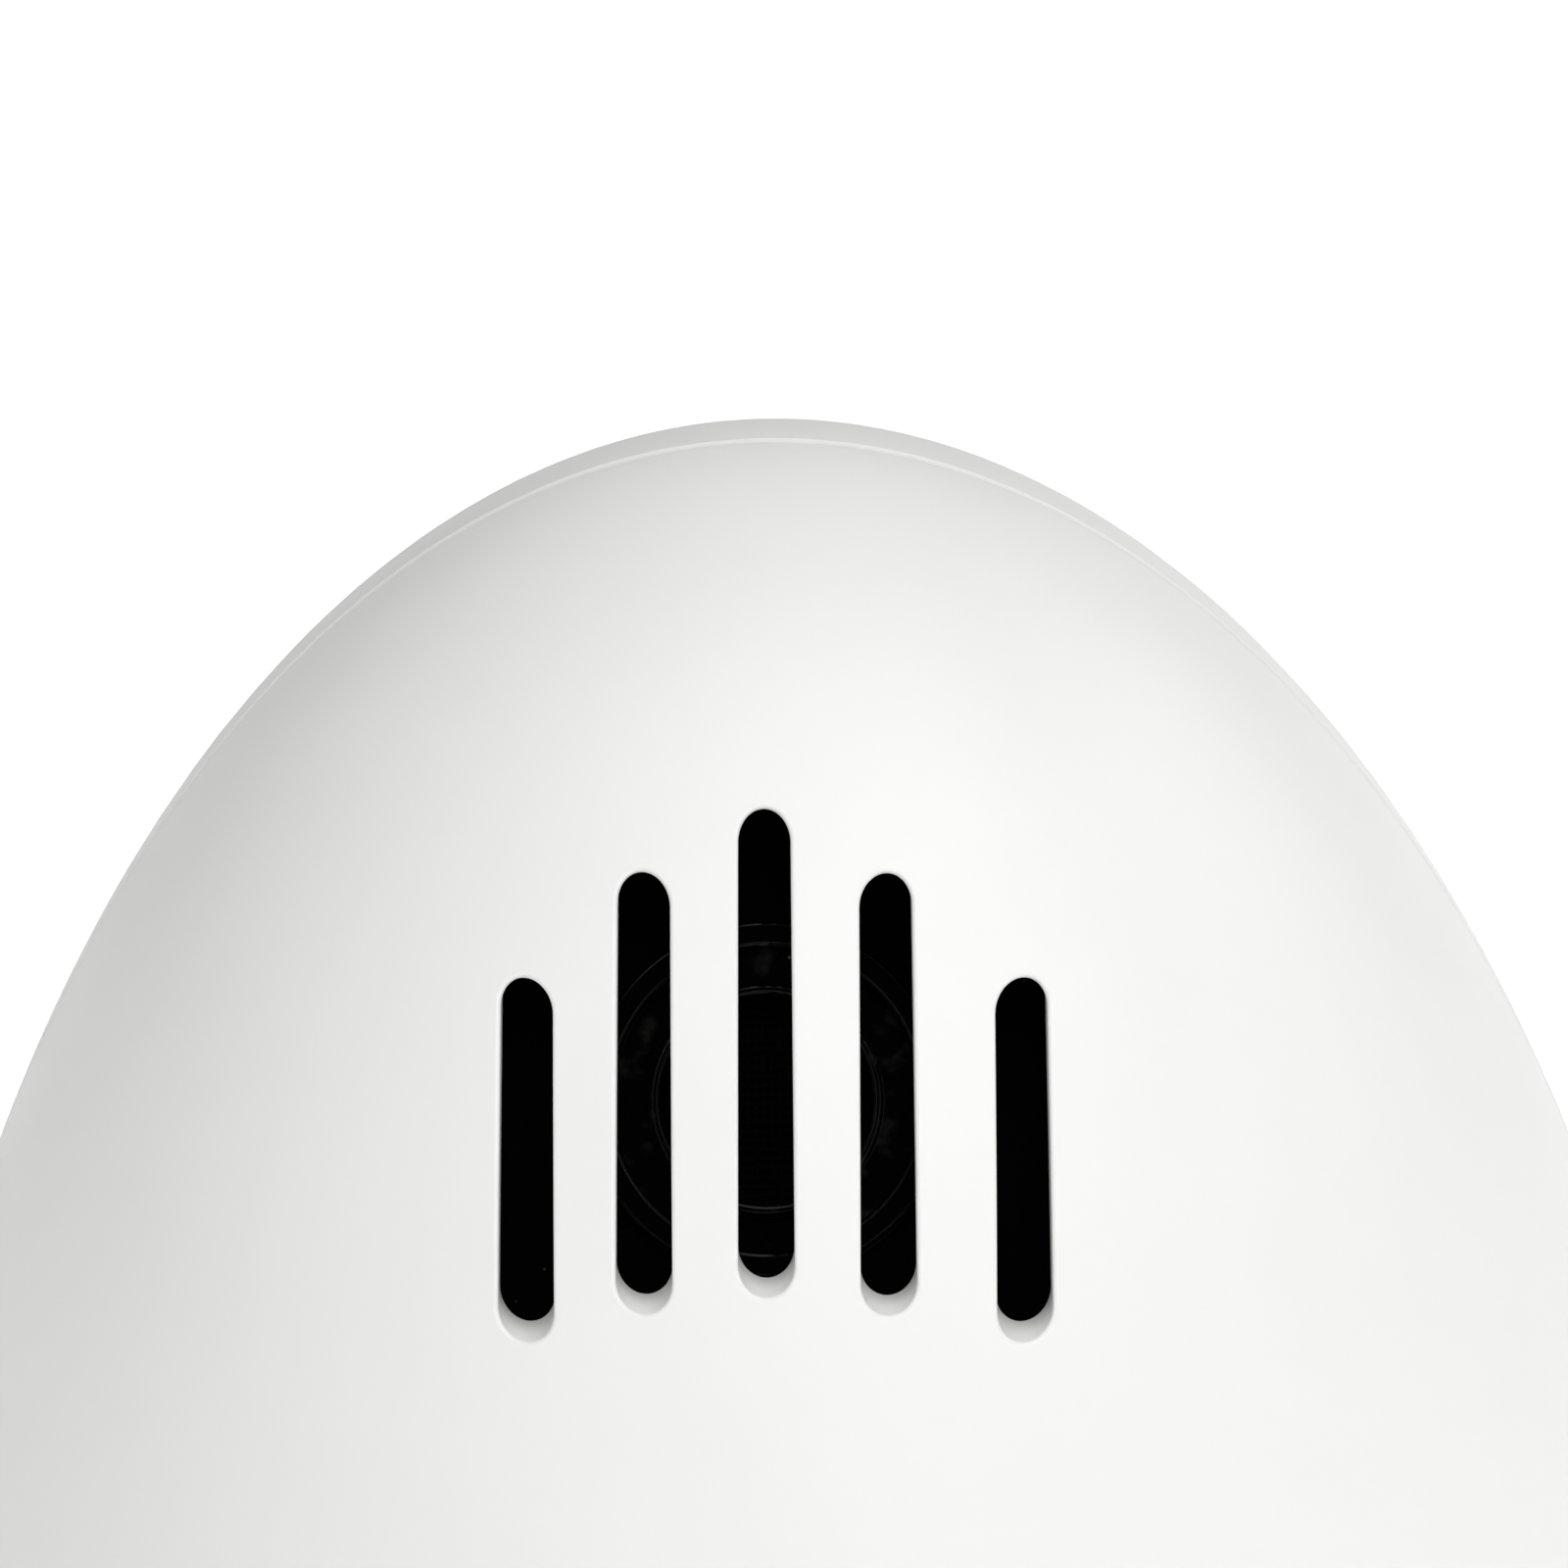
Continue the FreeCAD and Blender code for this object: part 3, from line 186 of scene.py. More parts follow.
def closed(mesh):
    """Merge a closed mesh's doubled points and turn all its faces outwards."""
    work = bmesh.new()
    work.from_mesh(mesh)
    bmesh.ops.remove_doubles(work, verts=work.verts, dist=0.0005 * MM)
    bmesh.ops.delete(work, geom=[edge for edge in work.edges if edge.is_wire], context="EDGES")
    bmesh.ops.recalc_face_normals(work, faces=work.faces)
    work.to_mesh(mesh)
    work.free()
    mesh.update()
    return mesh


def new_mesh(name, vertices, faces):
    """A flat-shaded mesh from an array of vertices and an array of faces of equal size."""
    mesh = bpy.data.meshes.new(name)
    corners = faces.shape[1]
    mesh.vertices.add(len(vertices))
    mesh.loops.add(faces.size)
    mesh.polygons.add(len(faces))
    mesh.vertices.foreach_set("co", np.asarray(vertices, np.float32).ravel())
    mesh.loops.foreach_set("vertex_index", np.asarray(faces, np.int32).ravel())
    mesh.polygons.foreach_set("loop_start", np.arange(0, faces.size, corners, dtype=np.int32))
    mesh.polygons.foreach_set("use_smooth", np.zeros(len(faces), bool))
    mesh.update(calc_edges=True)
    mesh.validate()
    return mesh


def add_piece(name, mesh, material, body):
    """Put a finished mesh in the scene, riding on a CAD body."""
    piece = bpy.data.objects.new(name, mesh)
    piece.data.materials.clear()
    piece.data.materials.append(material)
    bpy.context.scene.collection.objects.link(piece)
    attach(piece, body)
    return piece


def dress(material, *names):
    """Give CAD nodes a material."""
    for name in names:
        NODES[name].data.materials.clear()
        NODES[name].data.materials.append(material)


def ring_faces(rows, columns):
    """Quads of a grid that closes on itself both ways, as on a tyre."""
    row, column = np.divmod(np.arange(rows * columns), columns)
    next_row, next_column = (row + 1) % rows, (column + 1) % columns
    return np.stack((row * columns + column, row * columns + next_column,
                     next_row * columns + next_column, next_row * columns + column), axis=1)


def rounded_outline(width, height, corner, steps):
    """Points round a rectangle with round corners, from four quarter circles of steps points."""
    turn = np.linspace(0, math.pi / 2, steps)
    quarter = np.stack((np.cos(turn), np.sin(turn)), axis=1) * corner
    centres = np.array(((1, 1), (-1, 1), (-1, -1), (1, -1))) * (width / 2 - corner, height / 2 - corner)
    spins = (((1, 0), (0, 1)), ((0, -1), (1, 0)), ((-1, 0), (0, -1)), ((0, 1), (-1, 0)))
    return np.concatenate([quarter @ np.array(spin).T + centre for spin, centre in zip(spins, centres)])


# --- materials ----------------------------------------------------------------------------

def node(tree, kind, inputs=None, **properties):
    """Add a node, set its properties, and set or link its inputs."""
    made = tree.nodes.new(kind)
    for name, value in properties.items():
        setattr(made, name, value)
    for name, value in (inputs or {}).items():
        if isinstance(value, bpy.types.NodeSocket):
            tree.links.new(value, made.inputs[name])
        else:
            made.inputs[name].default_value = value
    return made


def start(name, **values):
    """A new material with one Principled shader, and its Object coordinates in metres."""
    material = bpy.data.materials.new(name)
    material.use_nodes = True
    tree = material.node_tree
    tree.nodes.clear()
    shader = node(tree, "ShaderNodeBsdfPrincipled")
    for key, value in values.items():
        shader.inputs[key.replace("_", " ")].default_value = value
    output = node(tree, "ShaderNodeOutputMaterial")
    tree.links.new(shader.outputs["BSDF"], output.inputs["Surface"])
    return material, tree, shader, node(tree, "ShaderNodeTexCoord").outputs["Object"]


def feed(tree, shader, outputs):
    """Link each output to the shader's input of that name."""
    for name, output in outputs.items():
        tree.links.new(output, shader.inputs[name])


def clouded(tree, place, size, first, second):
    """Colour that drifts between two hex colours, in patches about size metres across."""
    patches = node(tree, "ShaderNodeTexNoise", {"Vector": place, "Scale": 1 / size})
    return node(tree, "ShaderNodeMix", {0: patches.outputs["Fac"], 6: linear(first), 7: linear(second)},
                data_type="RGBA").outputs[2]


def uneven_gloss(tree, place, size, middle, swing):
    """Roughness that wanders by swing either side of its middle, in patches about size metres across."""
    patches = node(tree, "ShaderNodeTexNoise", {"Vector": place, "Scale": 1 / size})
    gloss = node(tree, "ShaderNodeMapRange",
                 {"Value": patches.outputs["Fac"], "From Min": 0.3, "From Max": 0.7,
                  "To Min": middle - swing, "To Max": middle + swing})
    return gloss.outputs["Result"]


def grained(tree, place, size, depth):
    """A skin of bumps about size metres across and depth metres high."""
    bumps = node(tree, "ShaderNodeTexNoise", {"Vector": place, "Scale": 1 / size, "Detail": 3.0})
    return node(tree, "ShaderNodeBump", {"Height": bumps.outputs["Fac"], "Distance": depth}).outputs["Normal"]


def moulded(name, low, high, rough, size, depth, **values):
    """A moulded plastic or rubber: faint clouding, uneven gloss and the mould's own grain.

    The colour drifts between low and high, rough is the middle of its roughness, and size and depth are
    its grain's.
    """
    material, tree, shader, place = start(name, **values)
    feed(tree, shader, {"Base Color": clouded(tree, place, 9 * MM, low, high),
                        "Roughness": uneven_gloss(tree, place, 2.5 * MM, rough, 0.04),
                        "Normal": grained(tree, place, size, depth)})
    return material


def depth_below_skin(tree, place):
    """How far a point lies below the egg's outer surface, in metres.

    The offset from the egg's middle is divided by its half-axes. Its length is then 1 on the skin, and
    what it lacks of 1, times the egg's radius, is the depth.
    """
    body = bpy.context.scene.timer_body
    radius, middle = body.egg_radius, body.egg_middle
    local = node(tree, "ShaderNodeMapping",
                 {"Vector": place, "Location": (0, 0, middle), "Scale": (radius, radius, 1)},
                 vector_type="TEXTURE")
    parts = node(tree, "ShaderNodeSeparateXYZ", {"Vector": local.outputs["Vector"]}).outputs
    up = node(tree, "ShaderNodeMath", {0: parts["Z"], 1: SHELL_HIGH.z - middle}, operation="DIVIDE")
    down = node(tree, "ShaderNodeMath", {0: parts["Z"], 1: body.egg_bottom}, operation="DIVIDE")
    level = node(tree, "ShaderNodeMath", {0: up.outputs[0], 1: down.outputs[0]}, operation="MINIMUM")
    whole = node(tree, "ShaderNodeCombineXYZ", {"X": parts["X"], "Y": parts["Y"], "Z": level.outputs[0]})
    away = node(tree, "ShaderNodeVectorMath", {0: whole.outputs["Vector"]}, operation="LENGTH")
    depth = node(tree, "ShaderNodeMath", {0: away.outputs["Value"], 1: -radius, 2: radius},
                 operation="MULTIPLY_ADD")
    return depth.outputs[0]


def satin_abs(name, hex_colour):
    """White ABS from a spark-eroded mould: soft wide highlights and a grain just fine enough to feel.

    A painted grey shade lies in the openings, more with depth, and along the parting line.
    """
    material, tree, shader, place = start(name, IOR=1.53)
    # Painted shade: the shell's colour greys with depth below the skin, so the slots' walls look shaded.
    depth = node(tree, "ShaderNodeMapRange", {"Value": depth_below_skin(tree, place),
                                              "From Min": SLOT_SHADE_DEPTHS[0], "From Max": SLOT_SHADE_DEPTHS[1]})
    painted_slot_shade = node(tree, "ShaderNodeValToRGB", {"Fac": depth.outputs["Result"]})
    painted_slot_shade.color_ramp.elements[0].color = linear(hex_colour)
    painted_slot_shade.color_ramp.elements[1].color = linear(darker(hex_colour, SLOT_SHADE_DEEPEST))
    for position, share in SLOT_SHADE_STEPS:
        painted_slot_shade.color_ramp.elements.new(position).color = linear(darker(hex_colour, share))
    # Painted shade: the colour also greys within about 0.3 mm of the parting line.
    along_y = node(tree, "ShaderNodeSeparateXYZ", {"Vector": place}).outputs["Y"]
    from_seam = node(tree, "ShaderNodeMath", {0: along_y}, operation="ABSOLUTE").outputs[0]
    painted_seam_shade = node(tree, "ShaderNodeMapRange", {"Value": from_seam, "From Min": SEAM_REACH[0],
                                             "From Max": SEAM_REACH[1], "To Min": SEAM_SHADE})
    patches = clouded(tree, place, 9 * MM, "#FBFBFB", "#FFFFFF")
    tinted = node(tree, "ShaderNodeVectorMath", {0: painted_slot_shade.outputs["Color"], 1: patches}, operation="MULTIPLY")
    shaded = node(tree, "ShaderNodeVectorMath",
                  {0: tinted.outputs["Vector"], "Scale": painted_seam_shade.outputs["Result"]}, operation="SCALE")
    feed(tree, shader, {"Base Color": shaded.outputs["Vector"],
                        "Roughness": uneven_gloss(tree, place, 2.5 * MM, 0.42, 0.04),
                        "Normal": grained(tree, place, 0.14 * MM, 0.0012 * MM)})
    return material


def darker(hex_colour, share):
    """A hex colour scaled towards black."""
    return "#" + "".join(f"{round(int(hex_colour[digit:digit + 2], 16) * share):02X}" for digit in (1, 3, 5))


def clear_acrylic(name):
    """Polished acrylic window: clear, with a hard gloss and a trace of orange peel."""
    material, tree, shader, place = start(name, Base_Color=(1, 1, 1, 1), IOR=1.49, Transmission_Weight=1.0)
    feed(tree, shader, {"Roughness": uneven_gloss(tree, place, 4 * MM, 0.025, 0.015),
                        "Normal": grained(tree, place, 3 * MM, 0.0004 * MM)})
    return material


def silk_screen_ink(name, hex_colour):
    """Screen-printed ink: an even matt film with a fine pinhole grain."""
    return moulded(name, darker(hex_colour, 0.9), hex_colour, 0.55, 0.06 * MM, 0.0006 * MM)


def black_polyester_mesh(name):
    """Woven acoustic mesh over the sound port: 0.25 mm cells of dull black thread."""
    material, tree, shader, place = start(name, Roughness=0.85, Specular_IOR_Level=0.03)
    across, upward = (node(tree, "ShaderNodeTexWave", {"Vector": place, "Scale": WAVE_PERIOD / (0.25 * MM)},
                           bands_direction=way).outputs["Fac"] for way in ("X", "Z"))
    weave = node(tree, "ShaderNodeMath", {0: across, 1: upward}, operation="MAXIMUM").outputs[0]
    threads = node(tree, "ShaderNodeMix", {0: weave, 6: linear("#010101"), 7: linear("#060606")},
                   data_type="RGBA")
    raised = node(tree, "ShaderNodeBump", {"Height": weave, "Distance": 0.04 * MM})
    feed(tree, shader, {"Base Color": threads.outputs[2], "Normal": raised.outputs["Normal"]})
    return material


def dusty_black_abs(name, centre, tilt):
    """Matt black ABS with burnished edges on its raised rings, faint smears and a few specks of dust.

    The rings are found by their distance from the sounder's axis, which runs through centre at a tilt.
    """
    material, tree, shader, place = start(name)
    local = node(tree, "ShaderNodeMapping", {"Vector": place, "Location": centre, "Rotation": (tilt, 0, 0)},
                 vector_type="TEXTURE")
    flat = node(tree, "ShaderNodeVectorMath", {0: local.outputs["Vector"], 1: (1.0, 1.0, 0.0)},
                operation="MULTIPLY")
    radial = node(tree, "ShaderNodeVectorMath", {0: flat.outputs["Vector"]}, operation="LENGTH")
    away = radial.outputs["Value"]
    edges = 0.0
    for radius in RING_EDGES:
        near = node(tree, "ShaderNodeMath", {0: away, 1: radius, 2: 0.07 * MM}, operation="COMPARE")
        edges = node(tree, "ShaderNodeMath", {0: near.outputs[0], 1: edges}, operation="MAXIMUM").outputs[0]
    cells = node(tree, "ShaderNodeTexVoronoi", {"Vector": place, "Scale": 1 / (1.5 * MM)}, feature="F1")
    speck = node(tree, "ShaderNodeMapRange", {"Value": cells.outputs["Distance"], "From Min": 0.02,
                                              "From Max": 0.05, "To Min": 1.0, "To Max": 0.0})
    patches = node(tree, "ShaderNodeTexNoise", {"Vector": place, "Scale": 1 / (0.9 * MM), "Detail": 3.0})
    smear = node(tree, "ShaderNodeMapRange", {"Value": patches.outputs["Fac"], "From Min": 0.58,
                                              "From Max": 0.75, "To Max": 0.12})
    inside = node(tree, "ShaderNodeMath", {0: away, 1: RING_EDGES[2]}, operation="LESS_THAN")
    kept = node(tree, "ShaderNodeMath", {0: smear.outputs["Result"], 1: inside.outputs[0]},
                operation="MULTIPLY")
    pale = node(tree, "ShaderNodeMath", {0: speck.outputs["Result"], 1: kept.outputs[0]},
                operation="MAXIMUM")
    dusted = node(tree, "ShaderNodeMix", {0: pale.outputs[0], 6: linear("#010101"), 7: linear("#6A6A68")},
                  data_type="RGBA")
    gloss = node(tree, "ShaderNodeMapRange", {"Value": edges, "To Min": 0.6, "To Max": 0.25})
    shine = node(tree, "ShaderNodeMapRange", {"Value": edges, "To Min": 0.02, "To Max": 0.16})
    feed(tree, shader, {"Base Color": dusted.outputs[2], "Roughness": gloss.outputs["Result"],
                        "Specular IOR Level": shine.outputs["Result"],
                        "Normal": grained(tree, place, 0.15 * MM, 0.002 * MM)})
    return material


def rubber(name, hex_colour):
    """Moulded rubber: dull, with a slight bloom and fine grain."""
    return moulded(name, darker(hex_colour, 0.75), hex_colour, 0.72, 0.1 * MM, 0.006 * MM, IOR=1.52,
                   Sheen_Weight=0.15, Sheen_Roughness=0.5)


def liquid_crystal(name):
    """Reflective display glass: a grey-green field under a satin polarising film."""
    material, tree, shader, place = start(name, Coat_Weight=0.5, Coat_Roughness=0.12, IOR=1.5)
    feed(tree, shader, {"Base Color": clouded(tree, place, 6 * MM, "#9CA495", "#A6AE9E"),
                        "Roughness": uneven_gloss(tree, place, 0.08 * MM, 0.4, 0.05),
                        "Normal": grained(tree, place, 0.05 * MM, 0.0005 * MM)})
    return material


def drawn_metal(name, hex_colour, rough):
    """Drawn or plated metal: fine lines along its height and small stains."""
    material, tree, shader, place = start(name, Metallic=1.0)
    mapping = node(tree, "ShaderNodeMapping", {"Vector": place, "Scale": (1.0, 1.0, 0.04)})
    stretched = mapping.outputs["Vector"]
    feed(tree, shader, {"Base Color": clouded(tree, place, 1.5 * MM, darker(hex_colour, 0.88), hex_colour),
                        "Roughness": uneven_gloss(tree, stretched, 0.05 * MM, rough, 0.08),
                        "Normal": grained(tree, stretched, 0.05 * MM, 0.001 * MM)})
    return material


def wound_copper(name):
    """Enamelled copper winding: 0.12 mm turns with a deep orange gloss."""
    material, tree, shader, place = start(name, Metallic=1.0, Coat_Weight=0.6, Coat_Roughness=0.1)
    turns = node(tree, "ShaderNodeTexWave", {"Vector": place, "Scale": WAVE_PERIOD / (0.12 * MM)},
                 bands_direction="Z").outputs["Fac"]
    wire = node(tree, "ShaderNodeMix", {0: turns, 6: linear("#8A4A25"), 7: linear("#C87545")},
                data_type="RGBA")
    raised = node(tree, "ShaderNodeBump", {"Height": turns, "Distance": 0.03 * MM})
    feed(tree, shader, {"Base Color": wire.outputs[2], "Normal": raised.outputs["Normal"],
                        "Roughness": uneven_gloss(tree, place, 0.4 * MM, 0.32, 0.08)})
    return material


def solder_resist(name):
    """Green circuit board: copper tracks show as paler bands under the resist, 1.2 mm apart."""
    material, tree, shader, place = start(name, Coat_Weight=0.6, Coat_Roughness=0.15, Roughness=0.4)
    tracks = node(tree, "ShaderNodeTexBrick", {"Vector": place, "Scale": 1 / (4.8 * MM), "Mortar Size": 0.035,
                                               "Color1": linear("#0E5A2C"), "Color2": linear("#106132"),
                                               "Mortar": linear("#2C8A4C")})
    raised = node(tree, "ShaderNodeBump", {"Height": tracks.outputs["Fac"], "Distance": 0.03 * MM})
    feed(tree, shader, {"Base Color": tracks.outputs["Color"], "Normal": raised.outputs["Normal"]})
    return material


def white_table(name):
    """Plain white table lit from within, less so beneath the timer, where the dimmer glow paints a soft
    shadow.
    """
    stage = bpy.context.scene.timer_stage
    material, tree, shader, place = start(name, Roughness=0.7, Emission_Color=(1, 1, 1, 1))
    away = node(tree, "ShaderNodeVectorMath", {0: place}, operation="LENGTH").outputs["Value"]
    # Painted shadow: the table gives off less light under the timer, which darkens it there.
    glow = node(tree, "ShaderNodeMapRange",
                {"Value": away, "From Min": stage.glow_start, "From Max": stage.glow_end,
                 "To Min": stage.near_glow, "To Max": stage.far_glow}, interpolation_type="SMOOTHSTEP")
    feed(tree, shader, {"Base Color": clouded(tree, place, 60 * MM, "#E6E6E6", "#EAEAEA"),
                        "Emission Strength": glow.outputs["Result"]})
    return material


# --- pieces -------------------------------------------------------------------------------

class TIMER_OT_shells(bpy.types.Operator):
    """Give the two shells and the battery cap their white ABS"""
    bl_idname = "timer.shells"
    bl_label = "Shells"

    def execute(self, context):
        body = context.scene.timer_body
        dress(satin_abs("satin_white_abs", body.shell_colour), "front_shell", "rear_shell")
        dress(satin_abs("satin_white_abs_cap", body.shell_colour), "battery_cap")
        return {"FINISHED"}


def film(name, outside, inside, bottom, top, side=-1):
    """A thin closed film on the egg, between two outlines with the same number of points.

    Rows of points share out the way from one outline to the other, and each point lies over its x and z
    at a height above the egg's surface (or, below zero, under it). The rows run out along the bottom
    and back along the top. side is -1 on the front and 1 on the rear.
    """
    shares = np.linspace(0, 1, FILM_ROWS)[:, None, None]
    band = outside * (1 - shares) + inside * shares
    layers = []
    for proud, rows in ((bottom, band), (top, band[::-1])):
        x, z = rows[..., 0], rows[..., 1]
        layers.append(np.stack((x, side * egg_depth(x, z, proud), z), axis=-1))
    points = np.concatenate(layers)
    return closed(new_mesh(name, points.reshape(-1, 3), ring_faces(*points.shape[:2])))


def printed_border():
    """A dark frame printed behind the lens, from just inside its edge to the clear window."""
    display = bpy.context.scene.timer_display
    centre = ((LENS_LOW.x + LENS_HIGH.x) / 2, (LENS_LOW.z + LENS_HIGH.z) / 2)
    outside = rounded_outline(LENS_HIGH.x - LENS_LOW.x - 2 * display.border_inset,
                              LENS_HIGH.z - LENS_LOW.z - 2 * display.border_inset,
                              display.border_corner, CORNER_POINTS)
    inside = rounded_outline(display.window_width, display.window_height,
                             display.window_corner, CORNER_POINTS)
    return film("window_border", divided(outside, SIDE_PARTS) + centre, divided(inside, SIDE_PARTS) + centre,
                -display.border_depth, display.border_thickness - display.border_depth)


def circle(radius):
    """Points round a circle."""
    turn = np.linspace(0, 2 * math.pi, CIRCLE_POINTS, endpoint=False)
    return np.stack((np.cos(turn), np.sin(turn)), axis=1) * radius


def arrow(size):
    """Points round a triangle that points up, as many as round a circle."""
    corners = np.array(((0, 1), (-0.87, -0.5), (0.87, -0.5))) * size
    shares = np.linspace(0, 1, CIRCLE_POINTS // 3, endpoint=False)[:, None]
    return np.concatenate([first * (1 - shares) + last * shares
                           for first, last in zip(corners, np.roll(corners, -1, axis=0))])


def divided(outline, parts):
    """A closed outline with each of its four straight sides divided into equal parts."""
    corner_points = len(outline) // 4
    pieces = []
    for corner in range(4):
        quarter = outline[corner * corner_points:(corner + 1) * corner_points]
        after = outline[(corner + 1) % 4 * corner_points]
        side = np.linspace(quarter[-1], after, parts + 1)[1:-1]
        pieces += [quarter, side]
    return np.concatenate(pieces)


SEGMENTS = {"0": "abcdef", "1": "bc", "2": "abged", "3": "abgcd", "4": "fgbc", "5": "afgcd", "6": "afgcde",
            "7": "abc", "8": "abcdefg", "9": "abcdfg"}


def segment_outlines(width, height, thick):
    """The seven bars of a figure about its centre, as six-sided outlines with pointed ends."""
    half_w, half_h, point = (width - thick) / 2, (height - thick) / 2, thick / 2
    gap = SEGMENT_GAP * thick
    flat, tall = half_w - gap, half_h / 2 - gap
    level = np.array(((-flat, 0), (point - flat, -point), (flat - point, -point),
                      (flat, 0), (flat - point, point), (point - flat, point)))
    upright = np.array(((0, -tall), (point, point - tall), (point, tall - point),
                        (0, tall), (-point, tall - point), (-point, point - tall)))
    middle = half_h / 2
    return {"a": level + (0, half_h), "b": upright + (half_w, middle), "c": upright + (half_w, -middle),
            "d": level - (0, half_h), "e": upright - (half_w, middle), "f": upright + (-half_w, middle),
            "g": level}


def prism_mesh(name, outlines, front, back):
    """Thin prisms on flat outlines of equal length: a front cap, a back cap and the sides between.

    Each outline lies in the XZ plane and the prism runs along Y from front to back.
    """
    outlines = np.asarray(outlines)
    count, corners = outlines.shape[:2]
    flat = outlines.reshape(-1, 2)
    points = np.concatenate([np.insert(flat, 1, depth, axis=1) for depth in (front, back)])
    first = np.arange(count)[:, None] * corners
    index = np.arange(corners)[None, :]
    here, after = first + index, first + (index + 1) % corners
    shift = count * corners
    sides = np.stack((here + shift, after + shift, after, here), axis=-1).reshape(-1, 4)
    fans = np.stack([np.stack((first[:, 0], first[:, 0] + k, first[:, 0] + k + 1), axis=-1)
                     for k in range(1, corners - 1)], axis=1).reshape(-1, 3)
    triangles = np.concatenate((fans, fans[:, ::-1] + shift, sides[:, :3], sides[:, (0, 2, 3)]))
    return closed(new_mesh(name, points, triangles))


def figure_outlines(lit):
    """Outlines of every segment of the display that is lit, or of every one that is not."""
    display = bpy.context.scene.timer_display
    bars = segment_outlines(display.digit_width, display.digit_height, display.segment_width)
    pitch = display.digit_width + display.digit_gap
    centre_x = (PANEL_LOW.x + PANEL_HIGH.x) / 2
    centre_z = (PANEL_LOW.z + PANEL_HIGH.z) / 2
    found = []
    for place, figure in enumerate(display.figures):
        from_middle = place - (len(display.figures) - 1) / 2
        shift_x = from_middle * pitch + math.copysign(display.colon_room, from_middle)
        for bar, outline in bars.items():
            if (bar in SEGMENTS[figure]) == lit:
                found.append(outline + (shift_x, 0))
    if lit:
        turn = np.arange(6) * math.pi / 3
        dot = np.stack((np.cos(turn), np.sin(turn)), axis=1) * display.colon_radius
        found += [dot + (0, level) for level in (-display.colon_rise, display.colon_rise)]
    found = np.array(found)
    found[..., 0] += found[..., 1] * math.tan(display.slant)
    return found + (centre_x, centre_z)


class TIMER_OT_display(bpy.types.Operator):
    """Make the window's border and the figures, and dress the display's own parts"""
    bl_idname = "timer.display"
    bl_label = "Display"

    def execute(self, context):
        dress(clear_acrylic("polished_acrylic"), "display_lens")
        dress(liquid_crystal("polarised_glass"), "lcd_panel")
        # Closed-cell foam: soft, dull and open enough at its surface to swallow stray light.
        black = moulded("closed_cell_foam", "#060606", "#101010", 0.85, 0.2 * MM, 0.03 * MM)
        dress(black, "lens_adhesive", "display_shroud")
        # Bare white ABS: plainer and a little greyer than the shells outside.
        dress(moulded("moulded_white_abs", "#D8D8D5", "#E2E2DF", 0.5, 0.2 * MM, 0.003 * MM), "lcd_frame")
        dress(rubber("striped_silicone_rubber", "#5A4038"), "upper_contact_strip", "lower_contact_strip")
        ink = silk_screen_ink("border_ink", "#1B1D1F")
        add_piece("window_border", printed_border(), ink, "case")
        display = context.scene.timer_display
        back = PANEL_LOW.y - display.segment_rise
        lit = prism_mesh("display_figures", figure_outlines(True), PANEL_LOW.y - display.lit_rise, back)
        add_piece("display_figures", lit, silk_screen_ink("lit_segment", "#15181A"), "case")
        unlit = prism_mesh("display_unlit_segments", figure_outlines(False),
                           PANEL_LOW.y - display.unlit_rise, back)
        add_piece("display_unlit_segments", unlit, silk_screen_ink("unlit_segment", "#929A8C"), "case")
        return {"FINISHED"}


def printed_words(name, words, centre_x, centre_z):
    """Words printed on the front of the egg: flat letters laid on its surface, a little proud of it.

    A letter's flat x and y become x and z beside the centre, and its thickness is measured outwards
    from the egg's surface at that point.
    """
    body = bpy.context.scene.timer_body
    text = bpy.data.curves.new(name, "FONT")
    text.body = words
    text.size = body.letter_height / CAPITAL_SHARE
    text.align_x, text.align_y = "CENTER", "CENTER"
    text.extrude = body.ink_height / 2
    text.space_character = LETTER_ROOM
    holder = bpy.data.objects.new(name, text)
    bpy.context.scene.collection.objects.link(holder)
    bpy.context.view_layer.update()
    mesh = bpy.data.meshes.new_from_object(holder.evaluated_get(bpy.context.evaluated_depsgraph_get()))
    bpy.data.objects.remove(holder)
    flat = np.zeros(len(mesh.vertices) * 3)
    mesh.vertices.foreach_get("co", flat)
    flat = flat.reshape(-1, 3)
    x, z = centre_x + flat[:, 0], centre_z + flat[:, 1]
    proud = flat[:, 2] + body.ink_height / 2
    y = -(egg_depth(x, z, 0) + proud)
    mesh.vertices.foreach_set("co", np.stack((x, y, z), axis=1).ravel())
    return closed(mesh)


